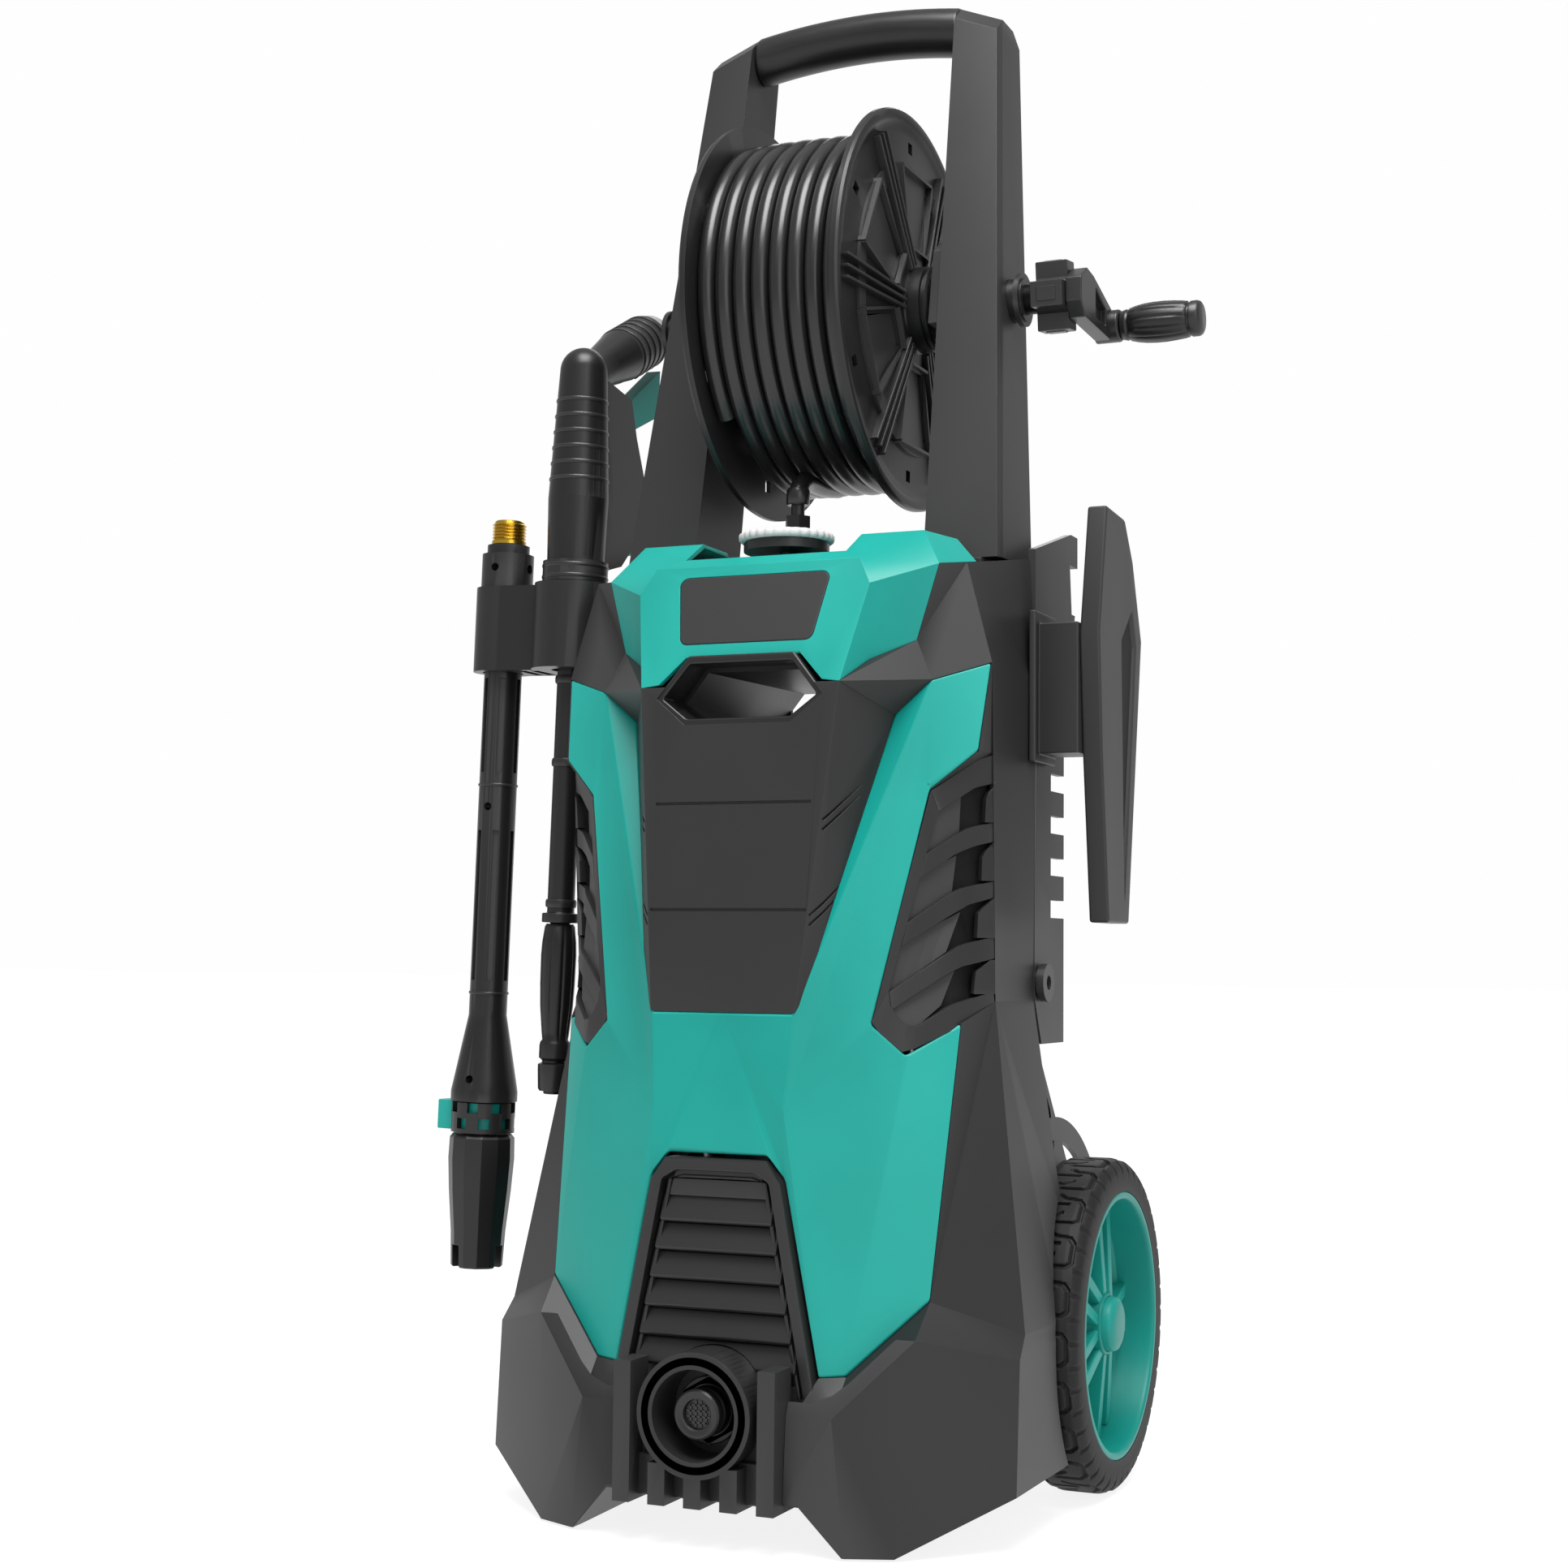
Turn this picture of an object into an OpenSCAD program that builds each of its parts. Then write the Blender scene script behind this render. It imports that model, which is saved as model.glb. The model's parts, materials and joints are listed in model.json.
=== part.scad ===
// Upright pressure washer with hose reel, spray gun, spare lance and two wheels.
// Millimetres. Z is up, the front faces -Y, the floor is Z = 0 and X = 0 is the mid-plane.

/* [Body] */
// Width of the upper body across its sides
body_w = 264; // [220:1:320]
// Height of the body up to the deck under the handle
body_h = 545; // [500:1:640]
// Distance from the deepest front point of the body to the side seam
body_d = 160; // [140:1:200]
// Thickness of the moulded walls
wall = 3.2; // [2.4:0.2:4]

/* [Handle] */
// Height from the deck to the top of the posts
post_h = 345; // [330:1:400]
// Angle at which the posts lean back
post_lean = 10.6; // [0:0.2:14]

/* [Hose reel] */
// Radius of the two reel flanges
flange_r = 122; // [100:1:126]
// Width between the reel flanges
reel_w = 92; // [70:1:96]
// Outside diameter of the pressure hose
hose_d = 11; // [8:0.5:13]
// Radius of the reel axle
axle_r = 9; // [7:0.5:12]
// Gap of a turning shaft in its bore, on the radius
run_gap = 0.05; // [0.02:0.01:0.09]

/* [Crank] */
// Distance from the reel axle to the crank grip
crank_reach = 52; // [40:1:80]
// Length of the crank grip
grip_len = 50; // [40:1:70]

/* [Wheels] */
// Wheel diameter over the tyre
wheel_d = 194; // [170:1:204]
// Width of a tyre
tyre_w = 38; // [30:1:44]
// Radius of the wheel axle
wheel_axle_r = 6; // [5:0.5:8]

/* [Water inlet] */
// Outside diameter of the ring around the inlet
inlet_ring_d = 66; // [56:1:72]
// Diameter of the inlet nipple that takes a hose coupling
nipple_d = 26.4; // [20:0.1:30]

/* [Accessories] */
// Diameter of the spare lance tube
lance_d = 24; // [20:0.5:26]
// Diameter of the thin tube below the gun
gun_tube_d = 17; // [14:0.5:19]
// Angle at which the rack leans out at the bottom
rack_lean = 1.7; // [0:0.1:2.5]
// Free gap between a lance and the rack
rack_gap = 1; // [0.5:0.1:2]

/* [Switch] */
// Diameter of the switch dial
dial_d = 56; // [46:1:60]

/* [Hidden] */
$fn = 48;
// Scales of the body along X, Y and Z
kw = body_w / 264;
kd = body_d / 160;
kh = body_h / 545;
seam_y = -12;
seam_gap = 0.4;
// Named corners of the right half of the body
function at(x, y, z) = [x * kw, y * kd, z * kh];
crease_top = at(71, -121.5, 518);
crease_low = at(60.5, -139, 462);
console_front = at(63, -116, 533.5);
console_side_low = at(70, -118, 476);
console_side_out = at(91, -100, 488);
console_side_top = at(103, -97, 531);
console_back = at(88, -82, 553);
shoulder = at(116, -88, 532);
arm_crease = at(102, -105, 465);
arm_inner = at(80, -105, 446);
arm_outer = at(132, -91, 475);
arm_low = at(128, -101, 425);
vent_top = at(104, -113, 403);
vent_back_top = at(131, -86, 425);
vent_back_low = at(130, -77, 288);
vent_low = at(120, -105, 276);
vent_tip = at(97, -130, 259);
vent_inner = at(80, -137, 275);
panel_corner = at(43, -156, 281);
panel_notch = at(52, -147, 298);
cover_crease = at(39, -160, 228);
cover_low_out = at(113, -133, 130);
cover_low_mid = at(74, -154, 91);
cover_low_in = at(60, -158, 90);
grille_side = at(40, -159, 193);
grille_top = at(30, -160, 205);
lip_in = at(52, -172, 72);
lip_mid = at(73, -172, 72);
lip_out = at(111.5, -151, 112);
side_front_top = at(156, -103, 112);
side_front_mid = at(157, -115, 100);
side_front_low = at(157, -120, 30);
foot_out = at(104, -160, 1.5);
foot_in = at(80, -170, 1.5);
apron_low = at(56, -175, 28);
seam_top = [128 * kw, seam_y, body_h];
seam_mid = [132 * kw, seam_y, 475 * kh];
seam_flare = [131 * kw, seam_y, 288 * kh];
seam_side = [157 * kw, seam_y, 112 * kh];
seam_side_low = [157 * kw, seam_y, 100 * kh];
// Level above which walls are thickened downward as well
roof_z = 470 * kh;
side_in = 0.8;
// Rear of the body
rear_y = 58;
rear_corner_x = 98 * kw;
rear_side_x = 128 * kw;
base_rear_y = 100;
waist_z = 262 * kh;
base_floor_z = 26 * kh;
well_x = 122 * kw;
// Deck and handle
deck_z = body_h;
deck_t = 4;
deck_front_y = -48;
post_root_in = 74;
post_root_out = 119;
post_top_in = 68.5;
post_top_out = 96;
post_root_d = 64;
post_top_d = 44;
post_front_y = -45;
post_wall = 4;
cap_rise = 11;
cap_drop = 11;
bar_sink = 2.5;
spigot_r = 6;
lean_back = tan(post_lean);
bar_r = 15;
bar_rise = 6;
// Reel
reel_y = 10;
reel_z = deck_z + 161;
flange_t = 4;
flange_x = reel_w / 2;
wind_r = flange_r - 12;
turns = floor((reel_w - 1) / (hose_d + 0.2));
wind_pitch = (reel_w - 1) / turns;
wind_layer = 0.86 * hose_d;
drum_r = wind_r - hose_d - wind_layer;
hub_r = 26;
post_in_x = 71;
bush_t = 4;
// Crank
crank_x = 127;
crank_hub_r = 19;
crank_hub_w = 20;
crank_arm_t = 16;
grip_r = 12.5;
pin_r = 4;
// Wheels
wheel_r = wheel_d / 2;
wheel_y = 55;
wheel_x = 165 * kw;
rim_r = 0.8 * wheel_r;
hub_cap_r = 20;
well_gap = 9;
well_floor_z = 9;
// Inlet
inlet_z = 70 * kh;
inlet_face_y = lip_in.y - 14;
foot_r = 8;
foot_h = 4.4;
// Rack of the accessories, on the left side
rack_top = 543 * kh;
rack_h = 54;
rack_y = -26;
lance_off = -56;
rack_x = -166 * kw;
holder_wall = 4;
gun_base_r = 20;
collar_r = 16.5;
// Switch
dial_y = -74 * kd;
dial_z = 546 * kh;
dial_h = 11;

teal = [0.16, 0.60, 0.55];
dark = [0.23, 0.23, 0.23];
black = [0.12, 0.12, 0.12];
brass = [0.80, 0.62, 0.25];
steel = [0.72, 0.73, 0.75];

// ---------- helpers ----------
function unit(v) = v / norm(v);
function inward(p) = unit([-side_in * p.x, -p.y, min(0, roof_z - p.z)]);
function sunk(p, depth) = p + depth * inward(p);
// Ordered fan of triangles for one facet
function fan(f) = [for (i = [1:len(f) - 2]) [f[0], f[i], f[i + 1]]];

function higher(p, q) = p.z > q.z || (p.z == q.z && p.x > q.x);

// A moulded wall: outer facets, the same facets sunk by t, and the edge between them
module skin(outer, facets, rim, t = wall) {
    n = len(outer);
    inner = [for (p = outer) sunk(p, t)];
    front = [for (f = facets) for (tri = fan(f)) tri];
    back = [for (tri = front) [tri[2] + n, tri[1] + n, tri[0] + n]];
    m = len(rim);
    // neighbours split a shared edge along the same diagonal, so their walls meet without overlap
    edge = [for (i = [0:m - 1]) let (a = rim[i], b = rim[(i + 1) % m])
        for (tri = higher(outer[b], outer[a]) ? [[b, a, a + n], [b, a + n, b + n]]
            : [[b, a, b + n], [a, a + n, b + n]]) tri];
    polyhedron(points = concat(outer, inner), faces = concat(front, back, edge));
}
// A right-hand shape and its mirror image as one
module both_sides() {
    children();
    mirror([1, 0, 0]) children();
}
// Solid with flat facets around its corner points
module facet_block(points) {
    hull() polyhedron(points = points, faces = [[for (i = [0:len(points) - 1]) i]]);
}
function mirrored(points) = concat(points, [for (p = points) [-p.x, p.y, p.z]]);
module x_rod(r, x0, x1) {
    translate([x0, 0, 0]) rotate([0, 90, 0]) cylinder(r = r, h = x1 - x0);
}
module y_rod(r, y0, y1) {
    translate([0, y0, 0]) rotate([-90, 0, 0]) cylinder(r = r, h = y1 - y0);
}
module z_rod(r, z0, z1) {
    translate([0, 0, z0]) cylinder(r = r, h = z1 - z0);
}
module x_tube(r, bore, x0, x1) {
    difference() {
        x_rod(r, x0, x1);
        x_rod(bore, x0 - 1, x1 + 1);
    }
}
// Side profile drawn as [y, z] points and given a thickness along X
module side_plate(points, x0, x1) {
    translate([x0, 0, 0]) rotate([90, 0, 90]) linear_extrude(x1 - x0) polygon(points);
}
module at_reel() {
    translate([0, reel_y, reel_z]) children();
}
module at_wheels() {
    translate([0, wheel_y, wheel_r]) children();
}
// Frame of the leaning rack: local Z runs along the lances
module in_rack() {
    translate([rack_x, rack_y, rack_top]) rotate([0, rack_lean, 0]) children();
}
module wheel_wells() {
    at_wheels() both_sides() x_rod(wheel_r + well_gap, well_x, wheel_x + 60);
}

// ---------- housing ----------
shoulder_points = [crease_low, console_side_low, console_side_out, console_side_top, shoulder,
    arm_crease, arm_inner, arm_outer, arm_low, vent_back_top, vent_back_low, vent_low,
    cover_low_out, cover_low_mid, cover_low_in, lip_in, lip_mid, lip_out, side_front_mid,
    side_front_top, seam_side, seam_side_low, seam_flare, seam_mid, seam_top];
shoulder_facets = [[0, 1, 2, 5, 6], [2, 3, 4, 5], [5, 4, 7], [4, 24, 23, 7],
    [7, 23, 22, 10, 9, 8], [10, 22, 20, 19, 12, 11], [12, 19, 18, 17], [13, 12, 17, 16],
    [14, 13, 16, 15], [19, 20, 21, 18]];
shoulder_rim = [0, 1, 2, 3, 4, 24, 23, 22, 20, 21, 18, 17, 16, 15, 14, 13, 12, 11, 10, 9, 8, 7, 5, 6];

base_front = [lip_in, lip_mid, lip_out, side_front_mid, seam_side_low, side_front_low,
    foot_out, foot_in, apron_low, [157 * kw, seam_y, 30 * kh], [120 * kw, seam_y, 8]];
// The same corners moved in by the wall, and raised so that the tub stays open at the top
base_hollow = [for (p = base_front) [p.x - 1.4 * wall * sign(p.x), min(p.y + 1.6 * wall, seam_y + 1),
    p.z > 60 * kh ? p.z + 60 : p.z + 1.2 * wall]];

// Space between the feet, left open under the base
module base_arch(grow = 0) {
    translate([0, 1, 0]) rotate([90, 0, 0]) linear_extrude(260)
        polygon([[-foot_in.x - grow, 0], [-apron_low.x - grow, 26 * kh + grow],
            [apron_low.x + grow, 26 * kh + grow], [foot_in.x + grow, 0]]);
}
module front_housing() {
    color(dark) difference() {
        union() {
            both_sides() skin(shoulder_points, shoulder_facets, shoulder_rim);
            difference() {
                facet_block(mirrored(base_front));
                difference() {
                    facet_block(mirrored(base_hollow));
                    base_arch(wall);
                }
            }
            // inner walls of the wheel wells
            both_sides() intersection() {
                at_wheels() {
                    x_rod(wheel_r + well_gap + wall, well_x - wall, well_x);
                    translate([well_x - wall, -wheel_r - well_gap, -wheel_r]) cube([wall, wheel_r, wheel_r]);
                }
                translate([0, -120, well_floor_z]) cube([200, 120 + seam_y, 190]);
            }
        }
        wheel_wells();
        base_arch();
        // opening for the inlet and for the lower end of the grille
        translate([-rib_span / 2 - 0.3, -200 * kd, 20 * kh]) cube([rib_span + 0.6, 60 * kd, 100 * kh]);
        inlet_passage();
        at_feet() cylinder(r = foot_r + 0.2, h = foot_h + 0.2);
    }
}
module inlet_passage() {
    translate([0, 0, inlet_z]) y_rod(inlet_ring_d / 2 - 9, inlet_face_y - 10, seam_y - 30);
}

// Part of the lower shell that reaches past the waist of the upper one
rear_lower_top = [for (p = [[seam_flare.x, seam_y], [rear_side_x, 14], [rear_corner_x, rear_y]])
    for (z = [waist_z - 60, waist_z + seam_gap]) [p.x + 20, p.y + (p.y > 0 ? 20 : -1), z]];
rear_upper = [[seam_flare.x, seam_y, waist_z], seam_mid, [rear_side_x, seam_y, deck_z],
    [rear_side_x, 14, deck_z], [rear_corner_x, rear_y, deck_z], [rear_side_x, 14, waist_z],
    [rear_corner_x, rear_y, waist_z]];
rear_lower = [[well_x, seam_y, base_floor_z], [seam_flare.x, seam_y, waist_z], [rear_side_x, 14, waist_z],
    [well_x, base_rear_y, base_floor_z + 14], [well_x, base_rear_y, 170 * kh],
    [rear_corner_x, rear_y, waist_z], [well_x, seam_y, 205 * kh], [well_x, 30, 205 * kh]];
function forward(points, y) = [for (p = points) p.y <= seam_y ? [p.x, y, p.z] : p];
// The same corners moved in by t; the front stays open, and up raises the top ones
function shrunk(points, t, up) = [for (p = points) [p.x - t, p.y > 0 ? p.y - t : seam_y - 1,
    p.z > 400 * kh ? p.z + up : (p.z > 200 * kh ? p.z : p.z + t)]];
fin_slots = 5;
fin_pitch = 25 * kh;
fin_t = 3.4;
fin_back = 46;

module fin_profile() {
    side_plate([[seam_y + 1, 290 * kh], [16, 236 * kh], [38, 226 * kh], [fin_back, 250 * kh],
        [fin_back, 500 * kh], [66, 512 * kh], [74, 540 * kh], [74, 571 * kh],
        [60, 571 * kh], [seam_y + 1, 551 * kh]], rear_side_x - 1, rear_side_x + fin_t);
}
module rear_cover() {
    // upper rear shell, between the two sides
    color(dark) difference() {
        union() {
            difference() {
                facet_block(mirrored(forward(rear_upper, seam_y + seam_gap)));
                facet_block(mirrored(shrunk(rear_upper, wall, 40)));
            }
            // fins beside the deck, with a row of cooling slots at the back
            both_sides() difference() {
                fin_profile();
                for (i = [0:fin_slots - 1])
                    translate([rear_side_x - 5, 20, 336 * kh + i * fin_pitch])
                        cube([20, 40, fin_pitch * 0.42]);
                side_plate([[62, 522 * kh], [90, 522 * kh], [90, 552 * kh], [58, 552 * kh]],
                    rear_side_x - 3, rear_side_x + 9);
            }
        }
        facet_block(mirrored(rear_lower_top));
        // louvres in the back wall
        for (i = [0:5])
            translate([-62 * kw, rear_y - 12, (300 + 22 * i) * kh]) cube([124 * kw, 24, 8]);
        // opening for the grip tunnel, and the bore for the cable gland
        translate([-52 * kw, rear_y - 20, 434 * kh - 3]) cube([104 * kw, 40, 45 * kh + 6]);
        at_gland() x_rod(9, -20, 30);
    }
}
module rear_base() {
    // lower rear shell, which carries the axle and arches over the tyres
    color(dark) difference() {
        union() {
            difference() {
                facet_block(mirrored(forward(rear_lower, seam_y + seam_gap)));
                facet_block(mirrored(shrunk(rear_lower, wall, 0)));
            }
            at_wheels() both_sides() difference() {
                x_rod(wheel_r + well_gap + 14, well_x - wall, well_x + 21);
                x_rod(wheel_r + well_gap, well_x - wall - 1, well_x + 30);
                translate([0, -200, -200]) cube([200, 400, 262]);
                translate([0, -200, -50]) cube([200, 200 + seam_y + seam_gap - wheel_y, 300]);
            }
        }
        wheel_wells();
        at_wheels() x_rod(wheel_axle_r + run_gap, -200, 200);
    }
}
module at_gland() {
    translate([0, -1, 298 * kh]) translate([rear_side_x, 0, 0]) children();
}
module cable_gland() {
    color(black) at_gland() difference() {
        union() {
            x_rod(8.95, -8, 4);
            x_rod(11, 4.6, 9);
            x_rod(8.95, 3, 5);
        }
        x_rod(4.2, -10, 20);
    }
}

module post_sockets(gap = 0) {
    both_sides() translate([post_root_in + 9 - gap, -24 - gap, deck_z - 24])
        cube([26 + 2 * gap, 26 + 2 * gap, 60]);
}
deck_side = [[110 * kw, deck_front_y + 0.3], [119 * kw, seam_y - 4], [122 * kw, 12],
    [93 * kw, rear_y - 5]];
module top_deck() {
    color(dark) difference() {
        union() {
            translate([0, 0, deck_z - deck_t - wall]) linear_extrude(deck_t)
                polygon(concat(deck_side, [for (i = [len(deck_side) - 1:-1:0]) [-deck_side[i].x, deck_side[i].y]]));
            // boss that parks the hose end
            translate([hose_park_x, hose_park_y, 0]) z_rod(9, deck_z - deck_t, hose_park_z - 0.1);
            // sleeves that take the posts
            both_sides() translate([post_root_in + 5, -28, deck_z - 30]) cube([34, 34, 30 - wall]);
        }
        post_sockets(0.2);
    }
}

cover_points = [at(0, -156, 281), panel_corner, panel_notch, arm_inner, arm_crease, arm_outer,
    arm_low, vent_top, vent_inner, vent_tip, vent_low, cover_low_out, cover_low_mid,
    cover_low_in, grille_side, grille_top, at(0, -160, 205), cover_crease];
cover_facets = [[0, 1, 17, 14, 15, 16], [1, 2, 3, 4, 17], [4, 5, 6, 7], [4, 7, 8, 17],
    [17, 8, 9, 12, 13, 14], [9, 10, 11, 12]];
cover_rim = [0, 1, 2, 3, 4, 5, 6, 7, 8, 9, 10, 11, 12, 13, 14, 15, 16];
module front_cover() {
    color(teal) both_sides() skin(cover_points, cover_facets, cover_rim);
}

tunnel_y = -130 * kd;
tunnel_low = 433 * kh;
tunnel_high = 478 * kh;
panel_points = [at(0, -139, 462), crease_low, arm_inner, panel_notch, panel_corner, at(0, -156, 281)];
module grip_cut(grow = 0) {
    // hexagonal opening seen from the front
    w = 50 * kw + grow;
    h = (tunnel_high - tunnel_low) / 2 + grow;
    translate([0, 120, (tunnel_low + tunnel_high) / 2]) rotate([90, 0, 0]) linear_extrude(330)
        polygon([[-w, 0], [-w + h * 0.8, h], [w - h * 0.8, h], [w, 0], [w - h * 0.8, -h], [-w + h * 0.8, -h]]);
}
module centre_panel() {
    color(dark) difference() {
        both_sides() skin(panel_points, [[0, 1, 4, 5], [1, 2, 3, 4]], [0, 1, 2, 3, 4, 5]);
        grip_cut(0.3);
        // two decorative grooves across the flat
        for (z = [336, 395])
            translate([-47 * kw, panel_corner.y - 10, z * kh])
                cube([94 * kw, 10 + (z - 281) * kh * 0.094 * kd + 1.2, 1.6]);
    }
}

console_points = [at(0, -116, 533.5), console_front, crease_top, crease_low, at(50, -138.5, 463.4),
    at(35, -133.6, 479), at(0, -133.6, 479), console_side_low, console_side_out, console_side_top,
    console_back, at(0, -82, 553), [96 * kw, deck_front_y, 553 * kh], [0, deck_front_y, 553 * kh],
    [112 * kw, deck_front_y - 12, 537 * kh]];
console_facets = [[0, 1, 2, 3, 4, 5, 6], [2, 9, 8, 7, 3], [1, 10, 9, 2], [0, 11, 10, 1],
    [11, 13, 12, 10], [10, 12, 14, 9]];
console_rim = [13, 12, 14, 9, 8, 7, 3, 4, 5, 6, 0, 11];
tray_z = 536 * kh;
module console() {
    color(teal) difference() {
        union() {
            both_sides() skin(console_points, console_facets, console_rim);
            // floor of the tray around the dial
            translate([-56 * kw, dial_y - 33, tray_z - 5]) cube([112 * kw, 58, 5]);
        }
        // tray cut through the sloping top
        translate([-50 * kw, dial_y - 31, tray_z]) cube([100 * kw, 64, 60]);
        translate([0, dial_y, 0]) z_rod(9.4, 0, tray_z + 30);
        // recess that holds the label plate
        label_shape(0.2, 1.4, 8);
    }
}
// Rounded trapezoid on the sloping front of the console
module label_shape(gap, depth, front) {
    slope = atan((console_front.y - crease_low.y) / (console_front.z - crease_low.z));
    low = [36 * kw, 31 * kh];
    high = [41 * kw, 63 * kh];
    translate([0, crease_low.y, crease_low.z]) rotate([90 - slope, 0, 0])
        translate([0, 0, -depth]) linear_extrude(depth + front) hull()
            for (p = [low, high])
                for (s = [-1, 1])
                    translate([s * p.x, p.y]) circle(5 + gap, $fn = 32);
}
module label_plate() {
    color(black) label_shape(0, 1.2, 0.4);
}

module grip_tunnel() {
    // duct through the body that a hand can hold, open at both ends
    color(black) difference() {
        intersection() {
            grip_cut(0);
            translate([-200, tunnel_y, 0]) cube([400, rear_y - tunnel_y, 800]);
        }
        grip_cut(-wall);
    }
}

vent_points = [vent_top, arm_low, vent_back_top, vent_back_low, vent_low, vent_tip, vent_inner];
module vent_panel() {
    sunk_points = [for (p = vent_points) sunk(p, 0.2)];
    difference() {
        skin(sunk_points, [[0, 1, 2], [0, 2, 3], [0, 3, 4, 5, 6]], [0, 1, 2, 3, 4, 5, 6], wall);
        for (i = [0:3])
            translate([(113 - 3.4 * i) * kw, (-106 - 4.6 * i) * kd, (389 - 30 * i) * kh])
                rotate([0, -20, 46]) cube([20, 40, 8], center = true);
    }
}
module vent_right() {
    color(black) vent_panel();
}
module vent_left() {
    color(black) mirror([1, 0, 0]) vent_panel();
}

// ---------- front grille and inlet ----------
grille_pts = [[0, 203], [30, 203], [39, 191], [58, 90], [52, 76], [0, 76]];
module grille_outline(shrink) {
    pts = [for (p = grille_pts) [max(0, p[0] * kw - shrink), p[1] * kh - (p[1] > 150 ? shrink : -shrink)]];
    polygon(concat(pts, [for (i = [len(pts) - 2:-1:1]) [-pts[i][0], pts[i][1]]]));
}
module front_grille() {
    y_front = -163 * kd;
    color(black) difference() {
        union() {
            difference() {
                translate([0, y_front + 12, 0]) rotate([90, 0, 0]) linear_extrude(12) grille_outline(0.4);
                translate([0, y_front + 20, 0]) rotate([90, 0, 0]) linear_extrude(30) grille_outline(6);
            }
            // slanted slats
            intersection() {
                translate([0, y_front + 12, 0]) rotate([90, 0, 0]) linear_extrude(12) grille_outline(4);
                for (i = [0:5])
                    translate([-70, y_front + 2, (178 - i * 15.5) * kh]) rotate([-28, 0, 0])
                        cube([140, 11, 3]);
            }
        }
        translate([0, 0, inlet_z]) y_rod(inlet_ring_d / 2 + 0.4, -260, 0);
    }
}
rib_count = 5;
rib_span = 94 * kw;
module inlet_surround() {
    color(dark) difference() {
        union() {
            // ring that guards the nipple
            translate([0, 0, inlet_z]) y_rod(inlet_ring_d / 2, inlet_face_y, -150 * kd);
            // side blades and the ribs under the ring
            for (s = [-1, 1])
                translate([s * (rib_span / 2 - 5) - 5, -186 * kd, 24 * kh]) cube([10, 21.5, 72 * kh]);
            for (i = [0:rib_count - 1])
                translate([-rib_span / 2 + i * (rib_span - 10) / (rib_count - 1), -186 * kd, 22 * kh])
                    cube([10, 30, 22 * kh]);
            translate([-rib_span / 2, -170 * kd, 31 * kh]) cube([rib_span, 14, 44 * kh]);
        }
        translate([0, 0, inlet_z]) y_rod(inlet_ring_d / 2 - 9, inlet_face_y - 1, 0);
    }
}
nipple_y = inlet_face_y + 4;
module inlet_connector() {
    // nipple, hexagon and shank on the axis of the inlet
    color(black) translate([0, 0, inlet_z]) difference() {
        union() {
            y_rod(nipple_d / 2, nipple_y, nipple_y + 16);
            translate([0, nipple_y + 16, 0]) rotate([-90, 0, 0]) cylinder(d = 38, h = 12, $fn = 6);
            y_rod(13, nipple_y + 28, -108 * kd);
        }
        y_rod(8, nipple_y - 1, -100 * kd);
    }
}
module inlet_filter() {
    color(steel) translate([0, 0, inlet_z]) difference() {
        y_rod(7.9, nipple_y + 3, nipple_y + 34);
        y_rod(6.6, nipple_y + 5, nipple_y + 40);
    }
}
module at_feet() {
    for (s = [-1, 1])
        translate([s * 93 * kw, -148 * kd, 0]) children();
}
module feet() {
    color(black) at_feet() cylinder(r = foot_r, h = foot_h);
}

// ---------- handle ----------
// Front edge of a post at a height above the deck
function post_y(h) = post_front_y + lean_back * h;
module post() {
    boss_r = axle_r + bush_t + 5;
    difference() {
        union() {
            difference() {
                facet_block(concat(post_ring(-wall), post_cap()));
                facet_block(concat(post_ring(24, post_wall), post_ring(post_h - 50, post_wall)));
            }
            translate([post_root_in + 9, -24, deck_z - 20]) cube([26, 26, 22]);
            // boss around the axle inside the hollow post
            at_reel() x_rod(boss_r, post_root_in, post_root_in + 30);
        }
        // bearing bore for the reel axle
        at_reel() x_rod(axle_r + run_gap + bush_t, 0, 200);
        // socket for the handlebar end
        at_bar() translate([0, 0, -spigot_r]) x_rod(spigot_r + 0.1, 0, post_top_in + 12);
    }
}
// Outline of a post at height h, moved in by t
function post_ring(h, t = 0) = let (k = h / post_h, xi = post_root_in + (post_top_in - post_root_in) * k + t,
    xo = post_root_out + (post_top_out - post_root_out) * k - t, y0 = post_y(h) + t,
    y1 = post_y(h) + post_root_d + (post_top_d - post_root_d) * k - t, z = deck_z + h, c = 5)
    [[xi, y0, z], [xo, y0, z], [xo + 2, y0 + c, z], [xo + 2, y1 - c, z], [xo - 3, y1, z], [xi, y1, z]];
// Top of a post: a ridge that carries on the line of the bar and falls to the outside
function post_cap() = let (r = post_ring(post_h), d = post_top_d) concat(
    [for (p = r) [p.x, p.y, p.x > post_top_in + 1 ? p.z - cap_drop + 1 : p.z + 1]],
    [for (x = [post_top_in, post_top_out]) for (y = [0.28, 0.72])
        [x, r[0].y + y * d, r[0].z + (x == post_top_in ? cap_rise : 0)]]);
module post_right() {
    color(dark) post();
}
module post_left() {
    color(dark) mirror([1, 0, 0]) post();
}
module at_bar() {
    translate([0, post_y(post_h) + post_top_d / 2 - 4, deck_z + post_h - bar_sink]) children();
}
// The bar is an arc between the posts, with a spigot in each
module handlebar() {
    half = post_top_in + 0.2;
    arc_r = (half * half + bar_rise * bar_rise) / (2 * bar_rise);
    arc_a = asin(half / arc_r);
    color(black) at_bar() {
        intersection() {
            translate([0, 0, bar_rise - arc_r]) rotate([90, 0, 0])
                rotate([0, 0, 84 - arc_a]) rotate_extrude(angle = 2 * arc_a + 12, $fn = 180)
                    translate([arc_r, 0]) circle(bar_r);
            cube([2 * post_top_in - 0.4, 100, 100], center = true);
        }
        both_sides() translate([0, 0, -spigot_r]) x_rod(spigot_r, half - 8, half + 10);
    }
}

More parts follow.
